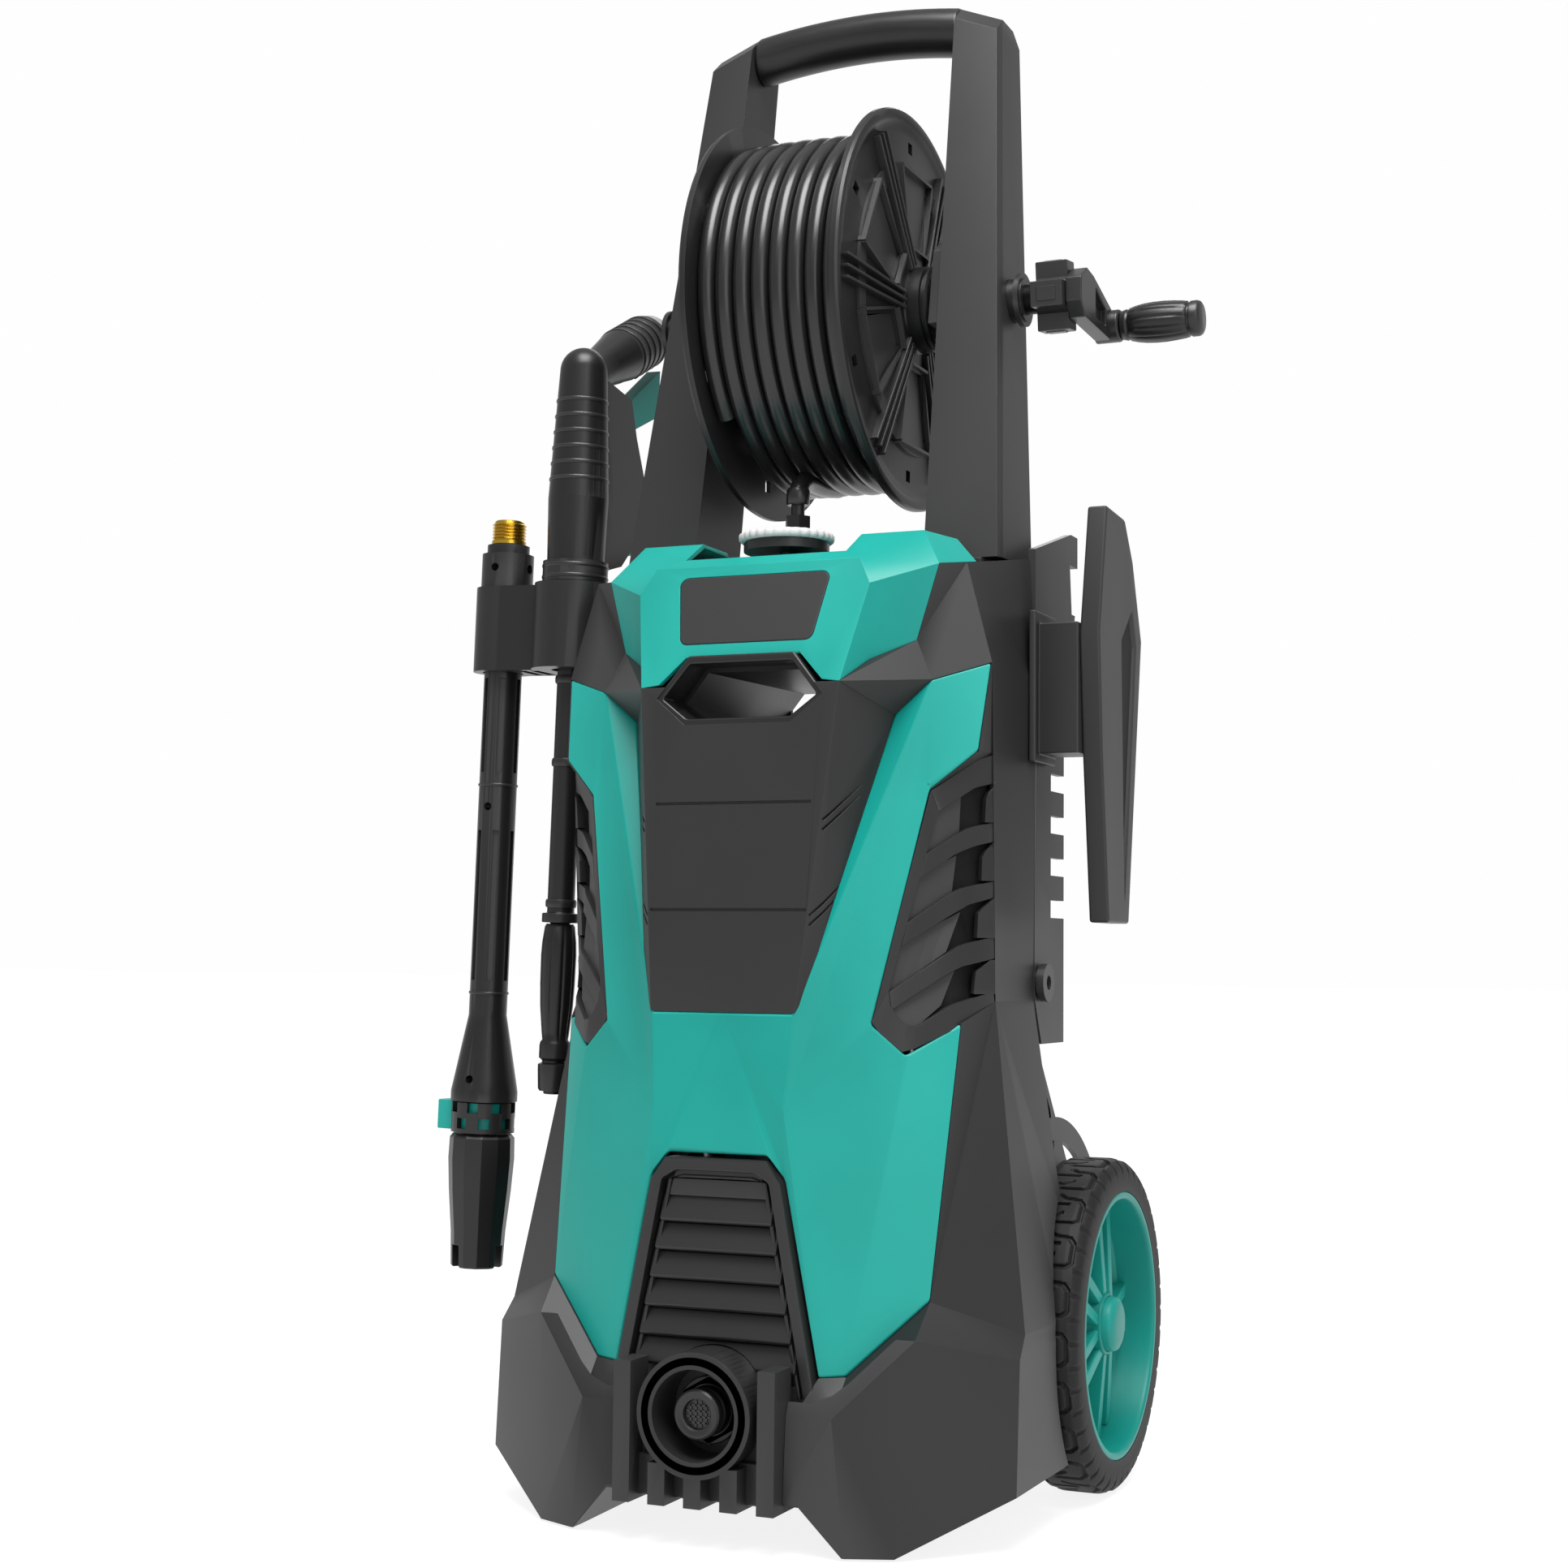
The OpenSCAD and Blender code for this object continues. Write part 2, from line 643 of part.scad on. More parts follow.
// ---------- hose reel ----------
module flange(s) {
    x_in = s * flange_x;
    windows = 6;
    difference() {
        union() {
            x_rod(flange_r, min(x_in, x_in + s * flange_t), max(x_in, x_in + s * flange_t));
            // rolled rim and hub towards the post
            x_tube(flange_r, flange_r - 5, min(x_in, x_in + s * 9), max(x_in, x_in + s * 9));
            x_rod(hub_r, min(x_in, s * (post_in_x - 7)), max(x_in, s * (post_in_x - 7)));
            for (i = [0:windows - 1])
                rotate([60 * i + 30, 0, 0])
                    translate([s > 0 ? x_in : x_in - 11, hub_r - 2, -2.5]) cube([11, flange_r - hub_r - 6, 5]);
        }
        for (i = [0:windows - 1])
            rotate([60 * i, 0, 0]) side_plate([[hub_r + 12, -10], [drum_r - 6, -24], [drum_r - 6, 24],
                [hub_r + 12, 10]], x_in - 20, x_in + 20);
        x_rod(axle_r + 0.02, -200, 200);
    }
}
module reel_flange_right() {
    color(black) at_reel() flange(1);
}
module reel_flange_left() {
    color(black) at_reel() flange(-1);
}
module reel_drum() {
    color(black) at_reel() difference() {
        x_rod(drum_r - 0.8, -flange_x, flange_x);
        x_rod(drum_r - 4.4, -flange_x + 4, flange_x - 4);
        x_rod(axle_r + 0.02, -200, 200);
        for (i = [0:5])
            rotate([60 * i, 0, 0]) side_plate([[hub_r + 12, -10], [drum_r - 12, -22], [drum_r - 12, 22],
                [hub_r + 12, 10]], -flange_x - 1, flange_x + 1);
    }
}
module reel_axle() {
    color(steel) at_reel() x_rod(axle_r, -(post_in_x + 22), crank_x + 14);
}
module axle_bushes() {
    color(black) at_reel() both_sides()
        difference() {
            union() {
                x_rod(axle_r + run_gap + bush_t - 0.02, post_in_x + 4, post_in_x + 30);
                x_rod(axle_r + bush_t + 6, post_in_x - 6, post_in_x - 2);
                x_rod(axle_r + run_gap + bush_t - 0.02, post_in_x + 29, post_in_x + 48);
                x_rod(axle_r + bush_t + 3, post_in_x + 44, post_in_x + 47);
                x_rod(axle_r + run_gap + bush_t - 0.02, post_in_x - 3, post_in_x + 5);
            }
            x_rod(axle_r + run_gap, 0, 200);
        }
}
wind_bead = wind_pitch / 2 + 0.25;
module hose_winding() {
    // every turn of the two layers, as rings side by side
    color(black) at_reel() rotate([0, 90, 0]) rotate_extrude($fn = 120) {
        for (i = [0:turns - 1])
            translate([wind_r - hose_d / 2, -reel_w / 2 + 0.5 + (i + 0.5) * wind_pitch])
                circle(wind_bead);
        for (i = [0:turns - 2])
            translate([wind_r - hose_d / 2 - wind_layer, -reel_w / 2 + 0.5 + (i + 1) * wind_pitch])
                circle(wind_bead);
    }
}
hose_park_x = -10;
tail_angle = 22.5;
tail_bend = 10;
tail_clear = 1.4;
tail_out = wind_r + hose_d / 2 + tail_clear;
tail_y = reel_y - tail_out * sin(tail_angle);
tail_z = reel_z - tail_out * cos(tail_angle);
hose_park_y = tail_y;
connector_z = tail_z - tail_bend - 6.2;
hose_park_z = deck_z + 12;
module hose_tail() {
    // the free end leaves the winding and bends down to its connector
    color(black) translate([hose_park_x, hose_park_y, tail_z]) {
        z_rod(hose_d / 2 - 1, -tail_bend, 0);
        sphere(hose_d / 2);
        z_rod(hose_d / 2 + 1.5, -tail_bend - 6, -tail_bend + 4);
    }
}
module hose_connector() {
    color(black) translate([hose_park_x, hose_park_y, 0]) {
        z_rod(4, connector_z - 7, connector_z);
        translate([0, 0, connector_z - 18]) cylinder(r = 8, h = 11.1, $fn = 6);
        z_rod(5.5, hose_park_z, connector_z - 17.9);
    }
}

// ---------- crank ----------
crank_grip_y = crank_reach * cos(8);
crank_grip_z = -crank_reach * sin(8);
module crank_hub() {
    color(black) at_reel() difference() {
        x_rod(crank_hub_r, crank_x, crank_x + crank_hub_w);
        for (i = [0:3])
            rotate([90 * i + 25, 0, 0]) translate([crank_x - 1, crank_hub_r - 5, -6]) cube([12, 8, 12]);
        x_rod(axle_r + 0.02, crank_x - 1, crank_x + 14.2);
    }
}
module crank_arm() {
    x0 = crank_x + crank_hub_w + 0.1;
    color(black) at_reel() difference() {
        union() {
            x_rod(crank_hub_r - 3, x0, x0 + crank_arm_t - 6);
            side_plate([[0, crank_hub_r - 3], [0, -crank_hub_r + 3], [crank_grip_y + 6, crank_grip_z - 10],
                [crank_grip_y + 8, crank_grip_z + 6]], x0, x0 + crank_arm_t - 6);
            translate([0, crank_grip_y, crank_grip_z]) x_rod(10, x0, x0 + crank_arm_t);
        }
        translate([0, crank_grip_y, crank_grip_z]) x_rod(pin_r + 0.01, x0 - 1, x0 + crank_arm_t + 1);
    }
}
module crank_pin() {
    x0 = crank_x + crank_hub_w + 0.1;
    color(steel) at_reel() translate([0, crank_grip_y, crank_grip_z])
        x_rod(pin_r, x0 + 0.5, x0 + crank_arm_t + grip_len - 4);
}
module crank_grip() {
    x0 = crank_x + crank_hub_w + 0.1 + crank_arm_t + 0.4;
    color(black) at_reel() translate([x0, crank_grip_y, crank_grip_z]) rotate([0, 90, 0])
        rotate_extrude() difference() {
            polygon([[pin_r + run_gap, 0], [grip_r - 4, 0], [grip_r - 2, 5], [grip_r, 16], [grip_r, 30],
                [grip_r - 1.5, grip_len - 8], [grip_r - 2, grip_len - 2], [grip_r - 4, grip_len],
                [0, grip_len], [0, grip_len - 3], [pin_r + run_gap, grip_len - 3]]);
        }
}

// ---------- wheels ----------
spokes = 5;
module rim() {
    difference() {
        union() {
            rotate([0, 90, 0]) rotate_extrude($fn = 96)
                polygon([[rim_r - 9, 2], [rim_r, 0], [rim_r, tyre_w], [rim_r - 4, tyre_w], [rim_r - 9, tyre_w - 6]]);
            x_rod(hub_cap_r + 3, 4, tyre_w - 6);
            for (i = [0:spokes - 1])
                for (s = [-1, 1])
                    rotate([360 / spokes * (i + 0.75) + s * 8, 0, 0])
                        translate([tyre_w - 18, hub_cap_r - 2, -3]) cube([9, rim_r - hub_cap_r - 4, 6]);
        }
        x_rod(wheel_axle_r + run_gap, -1, tyre_w + 1);
        x_rod(hub_cap_r - 4, tyre_w - 12, tyre_w + 1);
    }
}
module tyre() {
    // plain tread band with a rounded shoulder
    rotate([0, 90, 0]) rotate_extrude($fn = 96)
        polygon([[rim_r + 0.02, 0], [wheel_r - 6, 0], [wheel_r - 1.5, 4], [wheel_r, 10],
            [wheel_r, tyre_w - 10], [wheel_r - 1.5, tyre_w - 4], [wheel_r - 6, tyre_w], [rim_r + 0.02, tyre_w]]);
}
module hub_cap() {
    x_rod(hub_cap_r - 4.05, tyre_w - 9, tyre_w - 3.95);
    x_rod(hub_cap_r - 6, tyre_w - 4, tyre_w - 1);
}
module on_right_wheel() {
    at_wheels() translate([wheel_x - tyre_w, 0, 0]) children();
}
module wheel_right() {
    color(teal) on_right_wheel() rim();
}
module wheel_left() {
    color(teal) mirror([1, 0, 0]) on_right_wheel() rim();
}
module tyre_right() {
    color(black) on_right_wheel() tyre();
}
module tyre_left() {
    color(black) mirror([1, 0, 0]) on_right_wheel() tyre();
}
module hub_cap_right() {
    color(teal) on_right_wheel() hub_cap();
}
module hub_cap_left() {
    color(teal) mirror([1, 0, 0]) on_right_wheel() hub_cap();
}
module wheel_axle() {
    end_x = wheel_x - 11;
    color(steel) at_wheels() x_rod(wheel_axle_r, -end_x, end_x);
}

// ---------- cord hook ----------
hook_x = seam_mid.x + 0.2;
blade_x = 160 * kw;
module hook_bracket() {
    color(black) {
        translate([hook_x + 0.1, -26, 425 * kh]) cube([4, 40, 88 * kh]);
        translate([hook_x + 4, -20, 430 * kh]) cube([blade_x - hook_x - 4, 32, 76 * kh]);
    }
}
module hook_blade() {
    color(dark) difference() {
        side_plate([[-2, 576 * kh], [-18, 500 * kh], [-12, 430 * kh], [2, 333 * kh], [45, 333 * kh],
            [74, 505 * kh], [56, 548 * kh], [36, 574 * kh]], blade_x + 0.1, blade_x + 12);
        // long pocket behind the outer face
        side_plate([[36, 350 * kh], [60, 500 * kh], [52, 520 * kh], [30, 500 * kh]], blade_x + 9, blade_x + 20);
    }
}

// ---------- rack, lance and gun ----------
module accessory_holder() {
    color(black) difference() {
        union() {
            in_rack() {
                z_rod(gun_base_r + rack_gap + holder_wall, -rack_h, 0);
                translate([lance_off, 12, 0]) z_rod(lance_d / 2 + rack_gap + holder_wall + 2, -rack_h, 0);
                translate([lance_off, -6, -rack_h]) cube([-lance_off, 34, rack_h]);
            }
            // bracket to the side of the body
            translate([rack_x + 8, rack_y - 2, rack_top - rack_h + 4])
                cube([-rack_x - 8 - rear_side_x - fin_t - 0.2, 26, rack_h - 12]);
        }
        in_rack() {
            z_rod(gun_base_r + rack_gap, -24, 10);
            z_rod(gun_tube_d / 2 + 3 + rack_gap, -rack_h - 10, 5);
            translate([lance_off, 12, 0]) z_rod(lance_d / 2 + rack_gap, -rack_h - 10, 10);
            // ribs under the rack are left between three pockets
            for (i = [0:1])
                translate([lance_off + 18 + i * 9, -1, -rack_h - 1]) cube([6, 24, 22]);
        }
    }
}
module at_lance() {
    in_rack() translate([lance_off, 12, 0]) children();
}
lance_len = 430;
module lance_tube() {
    color(black) at_lance() difference() {
        union() {
            z_rod(collar_r, rest_gap, 22);
            z_rod(collar_r - 3, 21, 28);
            z_rod(lance_d / 2, -272, 2);
            translate([0, 0, -320]) cylinder(r1 = 21, r2 = lance_d / 2, h = 48);
            z_rod(21, -326, -320);
            z_rod(12, -346, -325);
        }
        z_rod(5, -350, 30);
        // finger slots along the tube
        for (a = [0:60:300])
            rotate([0, 0, a]) {
                translate([lance_d / 2 - 2, -2, -118]) cube([4, 4, 60]);
                translate([lance_d / 2 - 2, -2, -250]) cube([4, 4, 95]);
            }
    }
}
module lance_inlet() {
    color(brass) at_lance() difference() {
        union() {
            z_rod(11, 28.1, 44);
            z_rod(4.98, 10, 29);
        }
        z_rod(3, 5, 50);
    }
}
module lance_selector() {
    color(teal) at_lance() difference() {
        union() {
            z_rod(20, -341, -326.4);
            translate([-30, -6, -345]) cube([14, 12, 19]);
        }
        z_rod(12 + run_gap, -360, -300);
        for (i = [0:7])
            rotate([0, 0, 45 * i + 22]) translate([15, -3.5, -338]) cube([8, 7, 9]);
    }
}
module lance_nozzle() {
    color(black) at_lance() difference() {
        union() {
            translate([0, 0, -lance_len]) cylinder(r1 = 16, r2 = 21, h = lance_len - 346.4);
        }
        z_rod(9, -lance_len - 1, -lance_len + 40);
        z_rod(4, -lance_len - 1, -340);
        translate([4, -4, -lance_len - 1]) cube([20, 8, 14]);
    }
}

module at_gun() {
    in_rack() children();
}
trigger_y = 40;
trigger_z = 113;
latch_y = 50;
latch_z = 38;
grip_start = [0, 4, 134];
grip_tilt = 28;
gun_half = 13;
rest_gap = 0.3;
// Rear outline of the valve housing
gun_back = [[5, 8], [37, 17], [66, 45], [71, 57], [66, 75], [51, 103], [42, 126], [5, 132]];
// Barrel, valve housing and ears for the trigger, in the frame of the rack
module gun_body() {
    color(black) at_gun() {
        difference() {
            union() {
                z_rod(gun_base_r - 0.5, -24 + rest_gap, 2);
                z_rod(gun_base_r + 0.5, 1, 14);
                translate([0, 0, 13.9]) cylinder(r1 = gun_base_r - 2, r2 = gun_base_r - 1, h = 40.2);
                translate([0, 0, 54]) cylinder(r1 = gun_base_r - 1, r2 = 15, h = 82);
                translate([0, 0, 135.9]) sphere(15);
                side_plate(gun_back, -gun_half, gun_half);
            }
            z_rod(gun_tube_d / 2 + 0.01, -40, 0);
            // pocket for the trigger, between the two ears
            side_plate([[26, 136], [26, 104], [52, 94], [80, 94], [80, 136]], -7, 7);
            at_latch() translate([-4.6, -6, -13]) cube([9.2, 34, 20]);
        }
        translate([0, trigger_y, trigger_z]) x_rod(2, -8, 8);
        at_latch() x_rod(1.5, -6, 6);
    }
}
module gun_grip() {
    // pistol grip that rises backward from the top of the gun
    color(black) at_gun() difference() {
        translate(grip_start) rotate([grip_tilt - 90, 0, 0]) {
            z_rod(13, 0, 20);
            translate([0, 0, 19.9]) cylinder(r1 = 13, r2 = 17, h = 28.2);
            z_rod(17, 48, 88);
            translate([0, 0, 87.9]) cylinder(r1 = 17, r2 = 14, h = 12);
            translate([0, 0, 99.8]) cylinder(r1 = 12, r2 = 9, h = 4);
        }
        // seat on the head of the barrel
        translate([0, 0, 54]) cylinder(r1 = gun_base_r - 0.8, r2 = 15.2, h = 82);
        translate([0, 0, 135.9]) sphere(15.2);
        side_plate([[5, 8], [44, 8], [44, 126], [42.3, 126.4], [5, 132.4]], -gun_half - 1, gun_half + 1);
        // groove that lets the trigger close
        side_plate([[40, 110], [110, 110], [110, 176], [92, 172], [52, 148], [40, 136]], -6, 6);
    }
}
module gun_trigger() {
    color(teal) at_gun() difference() {
        side_plate([[trigger_y - 6, trigger_z + 4], [trigger_y + 6, trigger_z + 9], [96, 158], [96, 127],
            [trigger_y + 7, trigger_z - 9], [trigger_y - 5, trigger_z - 6]], -5, 5);
        translate([0, trigger_y, trigger_z]) x_rod(2 + run_gap, -10, 10);
    }
}
module at_latch() {
    translate([0, latch_y, latch_z]) children();
}
module trigger_latch() {
    color(teal) at_gun() at_latch() difference() {
        side_plate([[-3.4, -2], [1, -5], [18, -9], [20, 1], [3, 4.5], [-2, 3.4]], -4, 4);
        x_rod(1.5 + run_gap, -10, 10);
    }
}
module gun_lance() {
    color(black) at_gun() difference() {
        union() {
            z_rod(gun_tube_d / 2, -208, -0.5);
            z_rod(gun_tube_d / 2 + 3, -212, -206);
            z_rod(6, -318, -211);
        }
        z_rod(3, -320, 0);
    }
}
module gun_nozzle() {
    color(black) at_gun() rotate_extrude() polygon([[6 + run_gap, -212.6], [9, -212.6], [11, -232], [10.6, -262],
        [8, -284], [9.6, -290], [9.6, -296], [7.5, -298], [10, -301], [9, -316], [6 + run_gap, -316]]);
}

// ---------- switch and internals ----------
module switch_dial() {
    color(black) translate([0, dial_y, 0]) difference() {
        union() {
            z_rod(dial_d / 2 - 3, dial_z, dial_z + dial_h - 5);
            z_rod(dial_d / 2, dial_z + dial_h - 5.5, dial_z + dial_h);
            z_rod(4, dial_z - 22, dial_z + 1);
        }
        z_rod(dial_d / 2 - 7, dial_z + dial_h - 2, dial_z + dial_h + 4);
    }
}
module switch_body() {
    color(black) translate([0, dial_y, 0]) difference() {
        union() {
            translate([-22, -16, tray_z - 48]) cube([44, 32, 42]);
            z_rod(9.2, tray_z - 8, tray_z + 2);
        }
        z_rod(4 + run_gap, dial_z - 24, dial_z + 20);
    }
}
motor_z = 196 * kh;
motor_h = 170 * kh;
motor_y = -46;
motor_r = 56;
module motor() {
    color(steel) translate([0, motor_y, 0]) difference() {
        z_rod(motor_r, motor_z, motor_z + motor_h);
        z_rod(motor_r - 6, motor_z + 8, motor_z + motor_h - 8);
        z_rod(6 + run_gap, motor_z - 1, motor_z + motor_h + 1);
    }
}
module motor_fan() {
    // shaft with its cooling fan
    color(black) translate([0, motor_y, 0]) {
        z_rod(6, motor_z - 16, motor_z + motor_h + 24);
        z_rod(motor_r - 8, motor_z + motor_h + 4, motor_z + motor_h + 6);
        z_rod(motor_r - 20, motor_z + 30, motor_z + motor_h - 30);
        for (i = [0:7])
            rotate([0, 0, 45 * i]) translate([10, -1.5, motor_z + motor_h + 5]) cube([motor_r - 20, 3, 16]);
    }
}
pump_z = 96 * kh;
module pump() {
    color(steel) translate([0, motor_y, 0]) difference() {
        union() {
            z_rod(50, motor_z - 24, motor_z - 0.2);
            z_rod(38, pump_z, motor_z - 23);
            z_rod(26, pump_z - 48, pump_z + 1);
            // wet head with the inlet at the front
            translate([-26, -40, pump_z - 48]) cube([52, 44, 44]);
        }
        z_rod(8, motor_z - 20, motor_z + 1);
        translate([0, 0, inlet_z]) y_rod(6, -60, -20);
    }
}
module low_pressure_pipe() {
    color(black) translate([0, 0, inlet_z]) difference() {
        y_rod(11, -108 * kd + 0.2, motor_y - 40.2);
        y_rod(7, -108 * kd - 1, motor_y - 39);
    }
}
pipe_x = 64 * kw;
module high_pressure_pipe() {
    // steel pipe from the pump up to the deck
    color(steel) {
        translate([0, motor_y, pump_z - 20]) x_rod(6, 26.2, pipe_x);
        translate([pipe_x, motor_y, 0]) z_rod(6, pump_z - 20, 415 * kh);
        translate([pipe_x, motor_y, pump_z - 20]) sphere(6);
    }
}
module screws() {
    // fasteners of the rear shell
    color(steel) for (s = [-1, 1])
        for (z = [300, 380, 500])
            translate([s * 84 * kw, rear_y + 0.1, z * kh]) y_rod(4, 0, 2.6);
}

front_housing();
rear_cover();
rear_base();
top_deck();
front_cover();
centre_panel();
console();
label_plate();
grip_tunnel();
vent_left();
vent_right();
front_grille();
inlet_surround();
inlet_connector();
inlet_filter();
feet();
post_left();
post_right();
handlebar();
reel_flange_left();
reel_flange_right();
reel_drum();
reel_axle();
axle_bushes();
hose_winding();
hose_tail();
hose_connector();
crank_hub();
crank_arm();
crank_pin();
crank_grip();
wheel_left();
wheel_right();
tyre_left();
tyre_right();
hub_cap_left();
hub_cap_right();
wheel_axle();
hook_bracket();
hook_blade();
accessory_holder();
lance_tube();
lance_inlet();
lance_selector();
lance_nozzle();
gun_body();
gun_grip();
gun_trigger();
trigger_latch();
gun_lance();
gun_nozzle();
cable_gland();
switch_dial();
switch_body();
motor();
motor_fan();
pump();
high_pressure_pipe();
low_pressure_pipe();
screws();
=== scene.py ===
"""Upright pressure washer with a hose reel: looks for the CAD frame.

Laid out as an add-on. Each operator makes one piece or group of like pieces,
in metres and in the frame of the CAD, and lets it ride on its CAD body.
"""
import json
import math

import bpy
from mathutils import Matrix, Vector

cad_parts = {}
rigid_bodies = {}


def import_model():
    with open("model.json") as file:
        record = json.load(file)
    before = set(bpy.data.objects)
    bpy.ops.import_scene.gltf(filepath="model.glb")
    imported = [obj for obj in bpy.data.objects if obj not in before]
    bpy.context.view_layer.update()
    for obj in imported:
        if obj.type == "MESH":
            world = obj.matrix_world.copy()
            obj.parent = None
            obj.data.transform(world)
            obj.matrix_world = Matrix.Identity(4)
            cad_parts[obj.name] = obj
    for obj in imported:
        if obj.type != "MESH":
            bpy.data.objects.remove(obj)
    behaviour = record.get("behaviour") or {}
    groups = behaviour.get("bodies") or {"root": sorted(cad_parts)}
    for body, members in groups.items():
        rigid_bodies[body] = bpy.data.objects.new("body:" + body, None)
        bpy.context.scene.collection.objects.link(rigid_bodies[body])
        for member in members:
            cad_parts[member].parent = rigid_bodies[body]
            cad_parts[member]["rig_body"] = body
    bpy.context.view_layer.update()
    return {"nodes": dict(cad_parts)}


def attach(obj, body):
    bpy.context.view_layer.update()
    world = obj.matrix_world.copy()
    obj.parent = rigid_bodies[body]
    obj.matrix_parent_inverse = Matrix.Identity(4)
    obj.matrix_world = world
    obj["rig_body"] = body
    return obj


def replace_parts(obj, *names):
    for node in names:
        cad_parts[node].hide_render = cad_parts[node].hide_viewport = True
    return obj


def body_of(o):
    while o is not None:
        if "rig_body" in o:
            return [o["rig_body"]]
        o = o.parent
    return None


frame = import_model()

bl_info = {
    "name": "Pressure Washer",
    "version": (1, 0, 0),
    "blender": (4, 5, 0),
    "location": "View3D > Sidebar > Washer",
    "description": "Makes an upright pressure washer with a hose reel around its CAD frame",
    "category": "Add Mesh",
}

MM = 0.001
TURN = 2 * math.pi


# ---------- colours and materials ----------
def linear(colour):
    """An sRGB hex value such as "#36A79B" as linear red, green, blue and alpha."""
    parts = [int(colour[i:i + 2], 16) / 255 for i in (1, 3, 5)]
    return tuple(c / 12.92 if c <= 0.04045 else ((c + 0.055) / 1.055) ** 2.4 for c in parts) + (1.0,)


def add_node(tree, kind, settings=None, inputs=None, links=None):
    """Adds a node, sets its attributes and sockets, and links its inputs."""
    made = tree.nodes.new(kind)
    for key, value in (settings or {}).items():
        setattr(made, key, value)
    for key, value in (inputs or {}).items():
        made.inputs[key].default_value = value
    for key, socket in (links or {}).items():
        tree.links.new(socket, made.inputs[key])
    return made


def blank_material(name):
    """A new material, its node tree, its shader and its object coordinates."""
    made = bpy.data.materials.new(name)
    made.use_nodes = True
    tree = made.node_tree
    shader = tree.nodes["Principled BSDF"]
    place = add_node(tree, "ShaderNodeTexCoord").outputs["Object"]
    return made, tree, shader, place


def ramp(tree, source, stops):
    """A colour ramp with its stops given as (position, colour)."""
    made = add_node(tree, "ShaderNodeValToRGB", links={"Fac": source})
    band = made.color_ramp
    while len(band.elements) < len(stops):
        band.elements.new(0.5)
    for element, (position, colour) in zip(band.elements, stops):
        element.position = position
        element.color = colour
    return made.outputs["Color"]


def grey(value):
    """A neutral linear colour."""
    return (value, value, value, 1.0)


def surface(tree, shader, mottle, low, high, height, strength, depth):
    """Varies the roughness from low to high and raises a fine relief."""
    spread = add_node(tree, "ShaderNodeMapRange", links={"Value": mottle},
                      inputs={"To Min": low, "To Max": high})
    tree.links.new(spread.outputs["Result"], shader.inputs["Roughness"])
    bump = add_node(tree, "ShaderNodeBump", inputs={"Strength": strength, "Distance": depth * MM},
                    links={"Height": height})
    tree.links.new(bump.outputs["Normal"], shader.inputs["Normal"])


def moulded(name, colour, rough, grain=0.9, depth=0.06, shade=0.82, edge=1.25, gloss=0.3):
    """Injection-moulded plastic with a spark-eroded grain, soft cloudiness and paler edges: a painted
    highlight along the creases, with some wear.
    """
    made, tree, shader, place = blank_material(name)
    base = linear(colour)
    dark = tuple(c * shade for c in base[:3]) + (1.0,)
    pale = tuple(min(1.0, c * edge + 0.01) for c in base[:3]) + (1.0,)
    cloud = add_node(tree, "ShaderNodeTexNoise", inputs={"Scale": 9.0, "Detail": 3.0},
                     links={"Vector": place}).outputs["Fac"]
    body = ramp(tree, cloud, [(0.3, dark), (0.62, base)])
    # the paler colour where the mesh is pointy is a painted highlight along every crease, together with some
    # wear
    crease_pointiness = add_node(tree, "ShaderNodeNewGeometry").outputs["Pointiness"]
    edge_highlight_and_wear = ramp(tree, crease_pointiness, [(0.52, grey(0.0)), (0.60, grey(1.0))])
    mixed = add_node(tree, "ShaderNodeMixRGB", links={"Fac": edge_highlight_and_wear, "Color1": body})
    mixed.inputs["Color2"].default_value = pale
    tree.links.new(mixed.outputs["Color"], shader.inputs["Base Color"])
    fine = add_node(tree, "ShaderNodeTexNoise", inputs={"Scale": 1 / (grain * MM), "Detail": 2.0},
                    links={"Vector": place}).outputs["Fac"]
    surface(tree, shader, cloud, rough - 0.05, rough + 0.07, fine, 0.35, depth)
    shader.inputs["IOR"].default_value = 1.50
    shader.inputs["Specular IOR Level"].default_value = gloss
    return name, made


def turned_metal(name, colour, rough, grain=0.5):
    """Machined or cast metal: fine marks cross the surface and break up the reflection."""
    made, tree, shader, place = blank_material(name)
    base = linear(colour)
    dull = tuple(c * 0.8 for c in base[:3]) + (1.0,)
    marks = add_node(tree, "ShaderNodeTexNoise", inputs={"Scale": 1 / (grain * MM), "Detail": 4.0},
                     links={"Vector": place}).outputs["Fac"]
    tree.links.new(ramp(tree, marks, [(0.3, dull), (0.7, base)]), shader.inputs["Base Color"])
    surface(tree, shader, marks, rough - 0.05, rough + 0.1, marks, 0.2, 0.03)
    shader.inputs["Metallic"].default_value = 1.0
    return name, made


